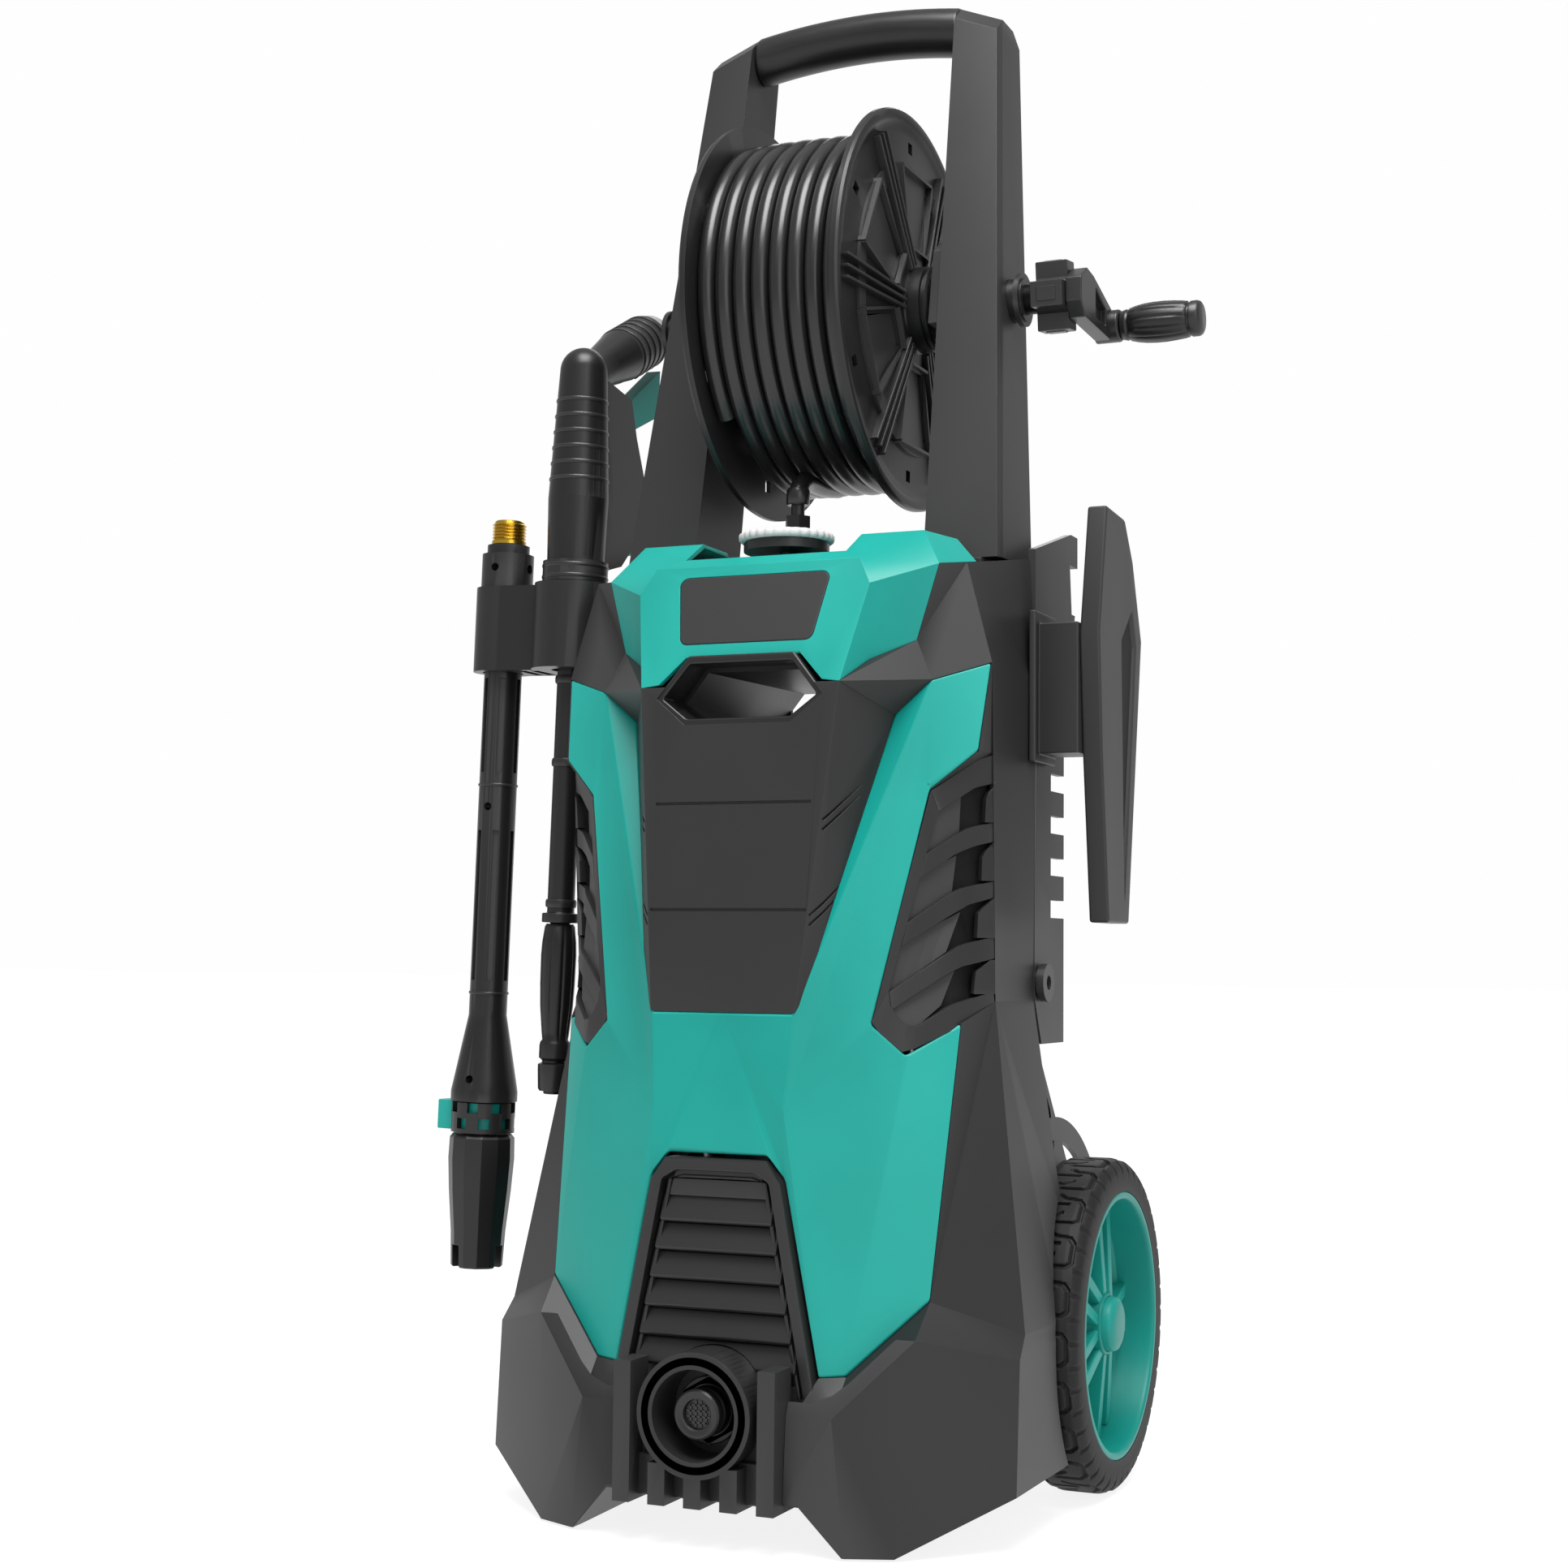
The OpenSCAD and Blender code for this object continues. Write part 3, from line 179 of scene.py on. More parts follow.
class PaintShop:
    """Every finish of the machine, made once."""
    made = {}

    @classmethod
    def get(cls, name):
        if not cls.made:
            cls.made = dict(cls.mix(bpy.context.scene.washer_finish))
        return cls.made[name]

    @staticmethod
    def mix(colours):
        """The name and the material of each finish."""
        # satin ABS: even colour, soft highlights along every crease
        yield moulded("abs_teal", to_hex(colours.teal), 0.42)
        # the same grade in charcoal
        yield moulded("abs_dark", to_hex(colours.dark), 0.40, edge=1.5)
        # glass-filled nylon: a little glossier, with a stronger painted highlight on its edges, so ribs and
        # holes read
        yield moulded("nylon_black", to_hex(colours.black), 0.34, edge=1.9, gloss=0.42)
        # matte EPDM rubber of the tyres
        yield moulded("tyre_rubber", "#171717", 0.62, grain=1.4, depth=0.12, edge=1.7)
        # smooth extruded hose cover
        yield moulded("hose_pvc", "#141414", 0.26, grain=3.0, depth=0.02, edge=1.2, gloss=0.5)
        # printed vinyl label, left blank
        yield moulded("label_vinyl", "#242424", 0.55, grain=0.5, depth=0.03, edge=1.1)
        # pale acetal ring of the switch
        yield moulded("acetal_grey", "#C4C4C4", 0.45, grain=0.8, depth=0.1, edge=1.05)
        # near-black sheets behind the vents and on the floor of the hook pocket: painted shade of these
        # hollows
        yield moulded("void_black", "#050505", 0.8, edge=1.0)
        # turned brass: yellow, with dark thread roots
        yield turned_metal("brass_turned", "#D2AE45", 0.24)
        # bright steel of the wheel axle, the pipe and the screws
        yield turned_metal("steel_turned", "#B9BBBE", 0.28)
        # blackened steel of the reel axle and crank pin
        yield turned_metal("steel_black", "#1E1E1E", 0.4)
        # sand-cast aluminium of the pump: coarser marks, duller sheen
        yield turned_metal("aluminium_cast", "#A9ABAE", 0.5, grain=1.5)


def to_hex(colour):
    """A gamma-corrected colour property as a hex value."""
    return "#" + "".join(f"{round(255 * c):02X}" for c in colour[:3])


# ---------- modelling helpers ----------
def only(obj):
    """Selects this object alone, and makes it active."""
    if bpy.context.object and bpy.context.object.mode == "EDIT":
        bpy.ops.object.mode_set(mode="OBJECT")
    bpy.ops.object.select_all(action="DESELECT")
    obj.select_set(True)
    bpy.context.view_layer.objects.active = obj
    return obj


def edit(obj):
    """Opens the object in edit mode with all of it selected."""
    only(obj)
    bpy.ops.object.mode_set(mode="EDIT")
    bpy.ops.mesh.select_all(action="SELECT")


def close():
    """Leaves edit mode."""
    bpy.ops.object.mode_set(mode="OBJECT")


def outward(obj):
    """Merges doubles and turns every face outward."""
    edit(obj)
    bpy.ops.mesh.remove_doubles(threshold=0.00001)
    bpy.ops.mesh.normals_make_consistent(inside=False)
    close()
    return obj


def moved(obj, matrix):
    """Moves the mesh itself, so the object stays at the origin."""
    obj.data.transform(matrix)
    obj.data.update()
    return obj


def new_active(name):
    """Names the object that an operator has just made."""
    obj = bpy.context.object
    obj.name = name
    obj.data.name = name
    return obj


def start():
    """Clears the selection before a primitive is added."""
    if bpy.context.object and bpy.context.object.mode == "EDIT":
        close()
    bpy.ops.object.select_all(action="DESELECT")


def mm(points):
    """Points given in millimetres, in metres."""
    return [tuple(c * MM for c in p) for p in points]


# turns the Z axis onto each axis
ONTO = {"Z": Matrix.Identity(4), "X": Matrix.Rotation(math.pi / 2, 4, "Y"),
        "Y": Matrix.Rotation(-math.pi / 2, 4, "X")}


def cylinder(r, lo, hi, axis, at):
    """A rod along one axis, from lo to hi, with its centre line at the other two coordinates."""
    start()
    bpy.ops.mesh.primitive_cone_add(vertices=48, radius1=r, radius2=r, depth=hi - lo, end_fill_type="NGON")
    obj = new_active("rod")
    mid = (lo + hi) / 2
    place = {"Z": (at[0], at[1], mid), "X": (mid, at[0], at[1]), "Y": (at[0], mid, at[1])}[axis]
    return moved(obj, Matrix.Translation(place) @ ONTO[axis])


def block(low, high):
    """A box between two corners in millimetres."""
    start()
    bpy.ops.mesh.primitive_cube_add(size=1)
    obj = new_active("block")
    low, high = (Vector(p) for p in mm([low, high]))
    size = high - low
    centre = (high + low) / 2
    return moved(obj, Matrix.Translation(centre) @ Matrix.Diagonal((*size, 1)))


def plate(outline, lo, hi, axis="X"):
    """An outline extruded along an axis. Points are the other two coordinates in X, Y, Z order."""
    start()
    bpy.ops.mesh.primitive_circle_add(vertices=len(outline), fill_type="NGON")
    obj = new_active("plate")
    for vert, (u, v) in zip(obj.data.vertices, outline):
        vert.co = {"X": (lo, u, v), "Y": (u, lo, v), "Z": (u, v, lo)}[axis]
    edit(obj)
    step = {"X": (hi - lo, 0, 0), "Y": (0, hi - lo, 0), "Z": (0, 0, hi - lo)}[axis]
    bpy.ops.mesh.extrude_region_move(TRANSFORM_OT_translate={"value": step})
    close()
    return outward(obj)


def lathe(profile, axis="Z", centre=(0, 0, 0), steps=64):
    """A closed profile of (radius, height) points spun round an axis through the centre."""
    start()
    bpy.ops.mesh.primitive_circle_add(vertices=len(profile), fill_type="NOTHING")
    obj = new_active("turned")
    for vert, (r, h) in zip(obj.data.vertices, profile):
        vert.co = (r, 0, h)
    edit(obj)
    bpy.ops.mesh.spin(steps=steps, angle=TURN, center=(0, 0, 0), axis=(0, 0, 1))
    close()
    moved(obj, Matrix.Translation(centre) @ ONTO[axis])
    return outward(obj)


def wrapped(columns, rows, place, name="sheet"):
    """A grid whose points are set by place(u, v), with u and v from 0 to 1."""
    start()
    bpy.ops.mesh.primitive_grid_add(x_subdivisions=columns, y_subdivisions=rows, size=1)
    obj = new_active(name)
    for vert in obj.data.vertices:
        vert.co = place(vert.co.x + 0.5, vert.co.y + 0.5)
    return obj


def use(obj, kind, **settings):
    """Adds a modifier with these settings and applies it."""
    only(obj)
    made = obj.modifiers.new(kind, kind)
    for key, value in settings.items():
        setattr(made, key, value)
    bpy.ops.object.modifier_apply(modifier=made.name)
    return obj


def cut(obj, *cutters):
    """Takes the cutters away from the object."""
    for cutter in cutters:
        use(obj, "BOOLEAN", operation="DIFFERENCE", object=cutter, solver="EXACT")
        bpy.data.objects.remove(cutter)
    return obj


def join(objs, name):
    """Joins objects into one with their surfaces left as they are."""
    start()
    for obj in objs:
        obj.select_set(True)
    bpy.context.view_layer.objects.active = objs[0]
    if len(objs) > 1:
        bpy.ops.object.join()
    return new_active(name)


def twin(obj, matrix=None, name=None):
    """A copy with its own mesh, moved by a matrix."""
    made = obj.copy()
    made.data = obj.data.copy()
    bpy.context.scene.collection.objects.link(made)
    if name:
        made.name = name
    if matrix is not None:
        moved(made, matrix)
        if matrix.determinant() < 0:
            # a mirrored mesh is inside out, and its shading has to be worked out again
            made.data.flip_normals()
            only(made)
            bpy.ops.mesh.customdata_custom_splitnormals_clear()
            use(made, "WEIGHTED_NORMAL", keep_sharp=True, weight=60)
    return made


def spin(degrees, axis, centre):
    """The turn by an angle about an axis through the centre."""
    base = Matrix.Translation(centre)
    return base @ Matrix.Rotation(math.radians(degrees), 4, axis) @ base.inverted()


def around(obj, count, axis, centre):
    """The object repeated round an axis and joined."""
    parts = [obj] + [twin(obj, spin(360 * i / count, axis, centre)) for i in range(1, count)]
    return join(parts, obj.name)


def mirror_x(obj, name):
    """The object's mirror image across the mid-plane."""
    return twin(obj, Matrix.Diagonal((-1, 1, 1, 1)), name)


def mirrored(obj):
    """The mirror image in place of the object."""
    image = mirror_x(obj, "image")
    bpy.data.objects.remove(obj)
    return image


def smooth_only(obj, angle=40):
    """Shades the object smooth, apart from edges sharper than the angle."""
    only(obj)
    bpy.ops.object.shade_smooth_by_angle(angle=math.radians(angle))
    return obj


def rounded(obj, width, segments=2, angle=25, smooth=40):
    """Rounds the sharp edges and shades what is left as smooth."""
    use(obj, "BEVEL", width=width, segments=segments, limit_method="ANGLE",
        angle_limit=math.radians(angle), use_clamp_overlap=True, miter_outer="MITER_ARC")
    smooth_only(obj, smooth)
    # the large flats keep their own normals, so only the rounded edges shade softly
    return use(obj, "WEIGHTED_NORMAL", keep_sharp=True, weight=60)


def from_node(node, name):
    """A merged copy of a CAD node's mesh with its flats as single faces."""
    obj = twin(frame["nodes"][node], name=name)
    obj.parent = None
    for key in [k for k in obj.keys() if k.startswith("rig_")]:
        del obj[key]
    obj.data.materials.clear()
    edit(obj)
    bpy.ops.mesh.remove_doubles(threshold=0.00002)
    bpy.ops.mesh.dissolve_limited(angle_limit=math.radians(0.6))
    close()
    return obj


def painted(obj, finish):
    """Gives an object its material."""
    obj.data.materials.clear()
    obj.data.materials.append(PaintShop.get(finish))
    return obj


def beside(obj, finish, name, node):
    """A finished detail that rides the body of a CAD node and replaces nothing."""
    obj.name = name
    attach(painted(obj, finish), body_of(frame["nodes"][node])[0])
    return obj


def instead(obj, finish, name, node):
    """A finished piece that stands for a CAD node and rides its body."""
    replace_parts(beside(obj, finish, name, node), node)


def pair(obj, finish, name, node):
    """A piece on the right and its mirror image on the left, each instead of its own node."""
    for side, piece in (("left", mirror_x(obj, "left")), ("right", obj)):
        instead(piece, finish, name.format(side), node.format(side))


# ---------- settings ----------
def colour_property(name, description, default):
    """A colour that the panel shows as a swatch."""
    return bpy.props.FloatVectorProperty(name=name, description=description, subtype="COLOR_GAMMA",
                                         size=3, min=0.0, max=1.0, default=default)


def length_property(name, description, default):
    """A length that the panel shows in the scene's units."""
    return bpy.props.FloatProperty(name=name, description=description, unit="LENGTH",
                                   subtype="DISTANCE", min=0.0, default=default)


class WasherFinish(bpy.types.PropertyGroup):
    """Colours that a user would change."""
    teal: colour_property("Teal", "Colour of the covers, rims and levers", (0.045, 0.550, 0.508))
    dark: colour_property("Charcoal", "Colour of the housings and posts", (0.138, 0.138, 0.138))
    black: colour_property("Black", "Colour of the small black parts", (0.085, 0.085, 0.085))
    floor: colour_property("Floor", "Colour of the studio floor", (0.5, 0.5, 0.5))


class WasherSizes(bpy.types.PropertyGroup):
    """Sizes of the details that are added to the CAD shapes."""
    edge: length_property("Edge", "Rounding of the large moulded edges", 1.6 * MM)
    hose: length_property("Hose", "Outside diameter of the pressure hose", 11 * MM)


def sizes():
    """The lengths set in the panel."""
    return bpy.context.scene.washer_sizes


# ---------- stage ----------
class WASHER_OT_stage(bpy.types.Operator):
    """Make the pale floor, the soft studio lights and the camera"""
    bl_idname = "washer.stage"
    bl_label = "Stage"

    def execute(self, context):
        start()
        bpy.ops.mesh.primitive_plane_add(size=60, location=(0, 0, 0))
        floor = new_active("floor")
        bpy.ops.object.transform_apply()
        paper, tree, shader, place = blank_material("floor_paper")
        shader.inputs["Base Color"].default_value = linear(to_hex(context.scene.washer_finish.floor))
        shader.inputs["Roughness"].default_value = 0.9
        # a faint glow keeps the paper pale right up to the horizon
        shader.inputs["Emission Color"].default_value = linear("#FFFFFF")
        shader.inputs["Emission Strength"].default_value = 0.85
        floor.data.materials.append(paper)
        self.studio(context)
        # a large lamp over the front, a weak one from the right and one behind
        self.lamp("top", (0.45, -1.0, 2.6), (0, 0, 0.4), 1.5, 95)
        self.lamp("fill", (1.9, -2.1, 1.3), (0, 0, 0.5), 1.6, 12)
        self.lamp("rear", (-0.6, 2.6, 2.2), (0, 0, 0.5), 1.2, 10)
        self.camera(context)
        context.scene.view_settings.view_transform = "Standard"
        return {"FINISHED"}

    def studio(self, context):
        """A white screen at the back of a dimmer room."""
        world = bpy.data.worlds.new("studio")
        context.scene.world = world
        world.use_nodes = True
        tree = world.node_tree
        way = add_node(tree, "ShaderNodeTexCoord").outputs["Generated"]
        screen = (-0.40, 0.916, 0.0)
        facing = add_node(tree, "ShaderNodeVectorMath", {"operation": "DOT_PRODUCT"}, {1: screen},
                          {0: way}).outputs["Value"]
        span = {"From Min": 0.72, "From Max": 0.88, "To Min": 0.48, "To Max": 1.0}
        glow = add_node(tree, "ShaderNodeMapRange", inputs=span, links={"Value": facing})
        back = tree.nodes["Background"]
        back.inputs["Color"].default_value = linear("#FEFEFE")
        tree.links.new(glow.outputs["Result"], back.inputs["Strength"])

    def lamp(self, name, place, target, size, watts):
        """A soft square lamp turned to a target."""
        light = bpy.data.lights.new(name, "AREA")
        light.size = size
        light.energy = watts
        obj = bpy.data.objects.new(name, light)
        bpy.context.scene.collection.objects.link(obj)
        obj.location = place
        obj.rotation_euler = (Vector(target) - Vector(place)).to_track_quat("-Z", "Y").to_euler()

    def camera(self, context):
        """A low view from the front right."""
        eye = bpy.data.cameras.new("camera")
        eye.sensor_width = 36
        eye.lens = 55.48
        eye.shift_x = 0.0027
        eye.shift_y = -0.0062
        eye.clip_start = 0.05
        obj = bpy.data.objects.new("camera", eye)
        context.scene.collection.objects.link(obj)
        turn = (Matrix.Rotation(math.radians(23.70), 4, "Z")
                @ Matrix.Rotation(math.radians(90 + 4.34), 4, "X")
                @ Matrix.Rotation(math.radians(0.60), 4, "Z"))
        obj.matrix_world = Matrix.Translation((0.5583, -1.3524, 0.3109)) @ turn
        context.scene.camera = obj


# ---------- housings ----------
def grip_hexagon(grow, flare=1.0, rise=1.0, low=15):
    """Outline of the hand grip opening. It grows on every side, flares sideways and rises up and down."""
    w, h, z = 50 * flare + grow, 22.5 * rise + grow, 455.5
    d = low * rise + grow
    flat = w - h * 0.8
    return mm([(-w, z), (-flat, z + h), (flat, z + h), (w, z), (flat, z - d), (-flat, z - d)])


class WASHER_OT_housings(bpy.types.Operator):
    """Round the edges of the moulded shells and covers"""
    bl_idname = "washer.housings"
    bl_label = "Housings"

    shells = (("abs_dark", "front_housing", "rear_base", "top_deck"),
              ("abs_teal", "front_cover", "console"),
              ("label_vinyl", "label_plate"),
              ("abs_dark", "post_left", "post_right"),
              ("nylon_black", "handlebar"),
              ("abs_dark", "inlet_surround", "hook_blade", "hook_bracket"),
              ("nylon_black", "accessory_holder"))

    def execute(self, context):
        for finish, *nodes in self.shells:
            for node in nodes:
                shell = from_node(node, node + "_shell")
                if node == "rear_base":
                    # the arch over each tyre is trimmed flush with the side of the body
                    for x in (122.1, -222.1):
                        cut(shell, block((x, -100, 0), (x + 100, 150, 300)))
                instead(rounded(shell, sizes().edge), finish, node + "_shell", node)
        return {"FINISHED"}


# nodes that keep their own CAD shape
NODE_FINISH = {
    "abs_dark": ("rear_cover",),
    "steel_black": ("reel_axle", "crank_pin"),
    "steel_turned": ("wheel_axle", "screws", "high_pressure_pipe", "motor"),
    "aluminium_cast": ("pump",),
    "nylon_black": ("feet", "reel_drum", "axle_bushes", "hose_connector", "cable_gland", "switch_body",
                    "motor_fan", "low_pressure_pipe"),
}


class WASHER_OT_paint(bpy.types.Operator):
    """Give the CAD nodes that keep their own shape their finish"""
    bl_idname = "washer.paint"
    bl_label = "Paint"

    def execute(self, context):
        for finish, nodes in NODE_FINISH.items():
            for node in nodes:
                carried = painted(frame["nodes"][node], finish)
                for face in carried.data.polygons:
                    face.material_index = 0
        return {"FINISHED"}


# ---------- swept shapes and bands ----------
def tube(path, radius, sides, name):
    """A round bar along a path of points, closed at both ends."""
    points = [Vector(p) for p in path]
    last = len(points) - 1
    rises = [(points[min(i + 1, last)] - points[max(i - 1, 0)]).normalized() for i in range(last + 1)]
    across = rises[0].orthogonal().normalized()
    frames = []
    for rise in rises:
        across = (across - rise * across.dot(rise)).normalized()
        frames.append((across.copy(), rise.cross(across)))

    def place(u, v):
        i = round(u * (last + 2))
        k = min(max(i - 1, 0), last)
        r = 0.0 if i in (0, last + 2) else radius
        a, b = frames[k]
        return points[k] + (a * math.cos(TURN * v) + b * math.sin(TURN * v)) * r

    return outward(wrapped(last + 2, sides, place, name))


def beam(path, width, height, up):
    """A strip of rectangular section along a path, standing on the surface whose normal is up."""
    points = [Vector(p) for p in path]
    last = len(points) - 1
    n = Vector(up).normalized()
    rows = []
    for i, p in enumerate(points):
        along = (points[min(i + 1, last)] - points[max(i - 1, 0)]).normalized()
        side = along.cross(n).normalized() * width / 2
        rows.append([p - side - n * height * 0.4, p - side * 0.7 + n * height,
                     p + side * 0.7 + n * height, p + side - n * height * 0.4])
    start()
    bpy.ops.mesh.primitive_grid_add(x_subdivisions=last + 2, y_subdivisions=4, size=1)
    obj = new_active("beam")
    for vert in obj.data.vertices:
        i = round((vert.co.x + 0.5) * (last + 2))
        k = min(max(i - 1, 0), last)
        j = round((vert.co.y + 0.5) * 4) % 4
        middle = sum(rows[k], Vector()) / 4
        vert.co = middle if i in (0, last + 2) else rows[k][j]
    return outward(obj)


def rings(heights, r, wide, deep):
    """Raised bands at several heights round a shaft that stands on the origin."""
    section = ((-1, -0.5), (deep * 0.6, -0.5), (deep, -0.25), (deep, 0.25), (deep * 0.6, 0.5), (-1, 0.5))
    return join([lathe(mm([(r + out, h + wide * up) for out, up in section]), "Z", (0, 0, 0), 40)
                 for h in heights], "rings")


def about(centre, points):
    """Points in millimetres round a centre on the side view, in metres."""
    return [(centre[1] + y * MM, centre[2] + z * MM) for y, z in points]


def carved(outline, steps, depth, axis, centre, smooth):
    """A closed outline of (radius, height) swept round an axis, less depth(r, h, u) at each point."""
    def place(u, v):
        r, h = outline[round(v * len(outline)) % len(outline)]
        r -= depth(r, h, u)
        a, b = r * MM * math.sin(u * TURN), r * MM * math.cos(u * TURN)
        x, y, z = (h * MM, a, b) if axis == "X" else (b, a, h * MM)
        return (centre[0] + x, centre[1] + y, centre[2] + z)

    return smooth_only(outward(wrapped(steps, len(outline), place, "carved")), smooth)


def distance(p, a, b):
    """Distance in the plane from a point to a segment."""
    dx, dy = b[0] - a[0], b[1] - a[1]
    t = max(0.0, min(1.0, ((p[0] - a[0]) * dx + (p[1] - a[1]) * dy) / (dx * dx + dy * dy)))
    return math.hypot(p[0] - a[0] - t * dx, p[1] - a[1] - t * dy)


# ---------- wheels ----------
WHEEL_AT = (0.127, 0.055, 0.097)
TYRE_R = 97
TYRE_W = 38


class WASHER_OT_tyres(bpy.types.Operator):
    """Make the tyres with hook-shaped tread grooves and notched shoulders"""
    bl_idname = "washer.tyres"
    bl_label = "Tyres"

    blocks = 22
    hook = ((3, 15), (3, 29), (5.5, 32.2), (17, 32.2), (20.5, 29.5), (21.5, 21), (24, 17))

    def groove(self, arc, across):
        """Depth of the tread at a place along and across the tyre, in millimetres."""
        pitch = TURN * TYRE_R / self.blocks
        deep = 0.0
        for x, shift in ((across, 0.0), (TYRE_W - across, pitch / 2)):
            a = (arc + shift) % pitch
            near = min(distance((b, x), p, q) for b in (a, a - pitch, a + pitch)
                       for p, q in zip(self.hook, self.hook[1:]))
            deep = max(deep, 1.9 * max(0.0, min(1.0, (1.5 - near) / 0.7)))
        if across > 33.5 or across < 4.5:
            edge = (arc + 3) % (pitch / 2)
            deep = max(deep, 1.7 * max(0.0, min(1.0, (1.7 - abs(edge - 4)) / 0.6)))
        return deep

    def execute(self, context):
        rim_r = 77.62
        outline = [(rim_r, 0), (84, 0), (89.5, 0.2), (91.6, 0.8), (93.6, 2.2), (95, 3.6)]
        outline += [(95.8 + 1.2 * min(1, (x - 4.6) / 5), x) for x in [4.6 + 0.8 * i for i in range(7)]]
        outline += [(TYRE_R, x) for x in [10 + 0.78 * i for i in range(12)]]
        outline += [(r, TYRE_W - x) for r, x in reversed(outline)]

        def tread(r, x, u):
            return self.groove(u * TURN * TYRE_R, x) if r > 88 else 0.0

        tyre = carved(outline, self.blocks * 44, tread, "X", WHEEL_AT, 35)
        pair(tyre, "tyre_rubber", "tyre_{}_tread", "tyre_{}")
        return {"FINISHED"}


class WASHER_OT_wheels(bpy.types.Operator):
    """Make the dished rims with five double spokes, and the hub caps"""
    bl_idname = "washer.wheels"
    bl_label = "Wheels"

    def execute(self, context):
        barrel = lathe(mm([(77.6, 0.3), (77.6, 37.6), (76.6, 38), (74.6, 38), (73.4, 37.2), (72.8, 35),
                           (71.8, 24), (70.2, 15.5), (66, 12.4), (30, 11.6), (24, 13.5), (20, 18),
                           (18.4, 24), (18.2, 29), (17.4, 30), (16.1, 30), (16.1, 26), (6.1, 26),
                           (6.1, 4), (22, 4), (28, 8), (64, 8.4), (68, 6), (71, 0.3)]), "X", WHEEL_AT, 96)
        bars = []
        for side in (-1, 1):
            # each bar leans away from the hub and steps down to the dish
            outline = [(side * 3.2, 15), (side * 9.5, 15), (side * 15, 70), (side * 6.6, 70)]
            bar = plate(about(WHEEL_AT, outline), 0.1365, 0.1555, "X")
            for vert in bar.data.vertices:
                if vert.co.x > 0.15 and vert.co.z > 0.15:
                    vert.co.x -= 8 * MM
            bars.append(bar)
        # web that closes the outer end of a pair of bars
        web = plate(about(WHEEL_AT, [(-9, 57), (9, 57), (12, 70), (-12, 70)]), 0.1365, 0.1435, "X")
        spoke = moved(rounded(join(bars + [web], "spoke"), 0.9 * MM), spin(54, "X", WHEEL_AT))
        rim = rounded(barrel, 0.5 * MM, 2, 30, 30)
        wheel = join([rim, around(spoke, 5, "X", WHEEL_AT)], "rim_right_dish")
        cap = lathe(mm([(0, 29), (15.9, 29), (15.9, 33), (15, 35), (12.4, 36.3), (8, 36.9), (0, 37)]),
                    "X", WHEEL_AT, 48)
        smooth_only(cap, 50)
        pair(wheel, "abs_teal", "rim_{}_dish", "wheel_{}")
        pair(cap, "abs_teal", "hub_dome_{}", "hub_cap_{}")
        return {"FINISHED"}


# ---------- hose reel ----------
REEL_AT = (0.0, 0.010, 0.706)


class WASHER_OT_reel(bpy.types.Operator):
    """Make the reel flanges with rolled rims, framed windows and ribs"""
    bl_idname = "washer.reel"
    bl_label = "Reel flanges"

    def execute(self, context):
        self.flange("flange_left_dish", "reel_flange_left", 4)
        self.flange("flange_right_dish", "reel_flange_right", -5)
        return {"FINISHED"}

    def flange(self, name, node, out):
        """A flange drawn on the right; out moves its dish along the axle."""
        face = [(9.1, 46), (122, 46), (122, 49), (121, 50.6), (119, 51), (116.6, 50.8), (114.6, 50.2),
                (112, 48.6), (108, 48.4), (96, 48.6), (40, 53), (27, 55), (26, 56)]
        hub = [(26, 59), (24, 59.6), (24, 61), (26, 61.6), (26, 63), (24.5, 64), (19, 64), (19, 62),
               (9.1, 62)]
        dish = lathe(mm([(r, x + out) for r, x in face] + hub), "X", REEL_AT, 120)
        window = plate(about(REEL_AT, [(-10, 38), (-22, 82), (22, 82), (10, 38)]), 0.03, 0.08, "X")
        notch = about(REEL_AT, [(-3.4, 98.5), (3.4, 98.5), (3.4, 105.5), (-3.4, 105.5)])
        notch = plate(notch, 0.03, 0.08, "X")
        dish = cut(dish, around(join([window, notch], "cutters"), 6, "X", REEL_AT))
        dish = rounded(dish, 0.5 * MM, 2, 30, 35)
        lip = []
        ring = [(-12.6, 35.6), (-25.6, 84.6), (25.6, 84.6), (12.6, 35.6)]
        for p, q in zip(ring, ring[1:] + ring[:1]):
            x = (51 + out - (max(p[1], q[1]) - 60) * 0.05) * MM
            path = [(x, y, z) for y, z in about(REEL_AT, (p, q))]
            lip.append(beam(path, 2.6 * MM, 4.2 * MM, (1, 0, 0)))
        frames = around(join(lip, "frames"), 6, "X", REEL_AT)
        ribs = []
        for side in (-4.6, 0, 4.6):
            outline = [(side - 1.1, 27), (side + 1.1, 27), (side * 1.5 + 0.9, 109),
                       (side * 1.5 - 0.9, 109)]
            rib = plate(about(REEL_AT, outline), (48 + out) * MM, (57.5 + out) * MM, "X")
            for vert in rib.data.vertices:
                if vert.co.x > (55 + out) * MM and vert.co.z > 0.8:
                    vert.co.x -= 5 * MM
            ribs.append(rib)
        ribs = around(rounded(join(ribs, "ribs"), 0.5 * MM), 6, "X", REEL_AT)
        flange = join([dish, frames, moved(ribs, spin(30, "X", REEL_AT))], name)
        if node.endswith("left"):
            flange = mirrored(flange)
        instead(flange, "nylon_black", name, node)


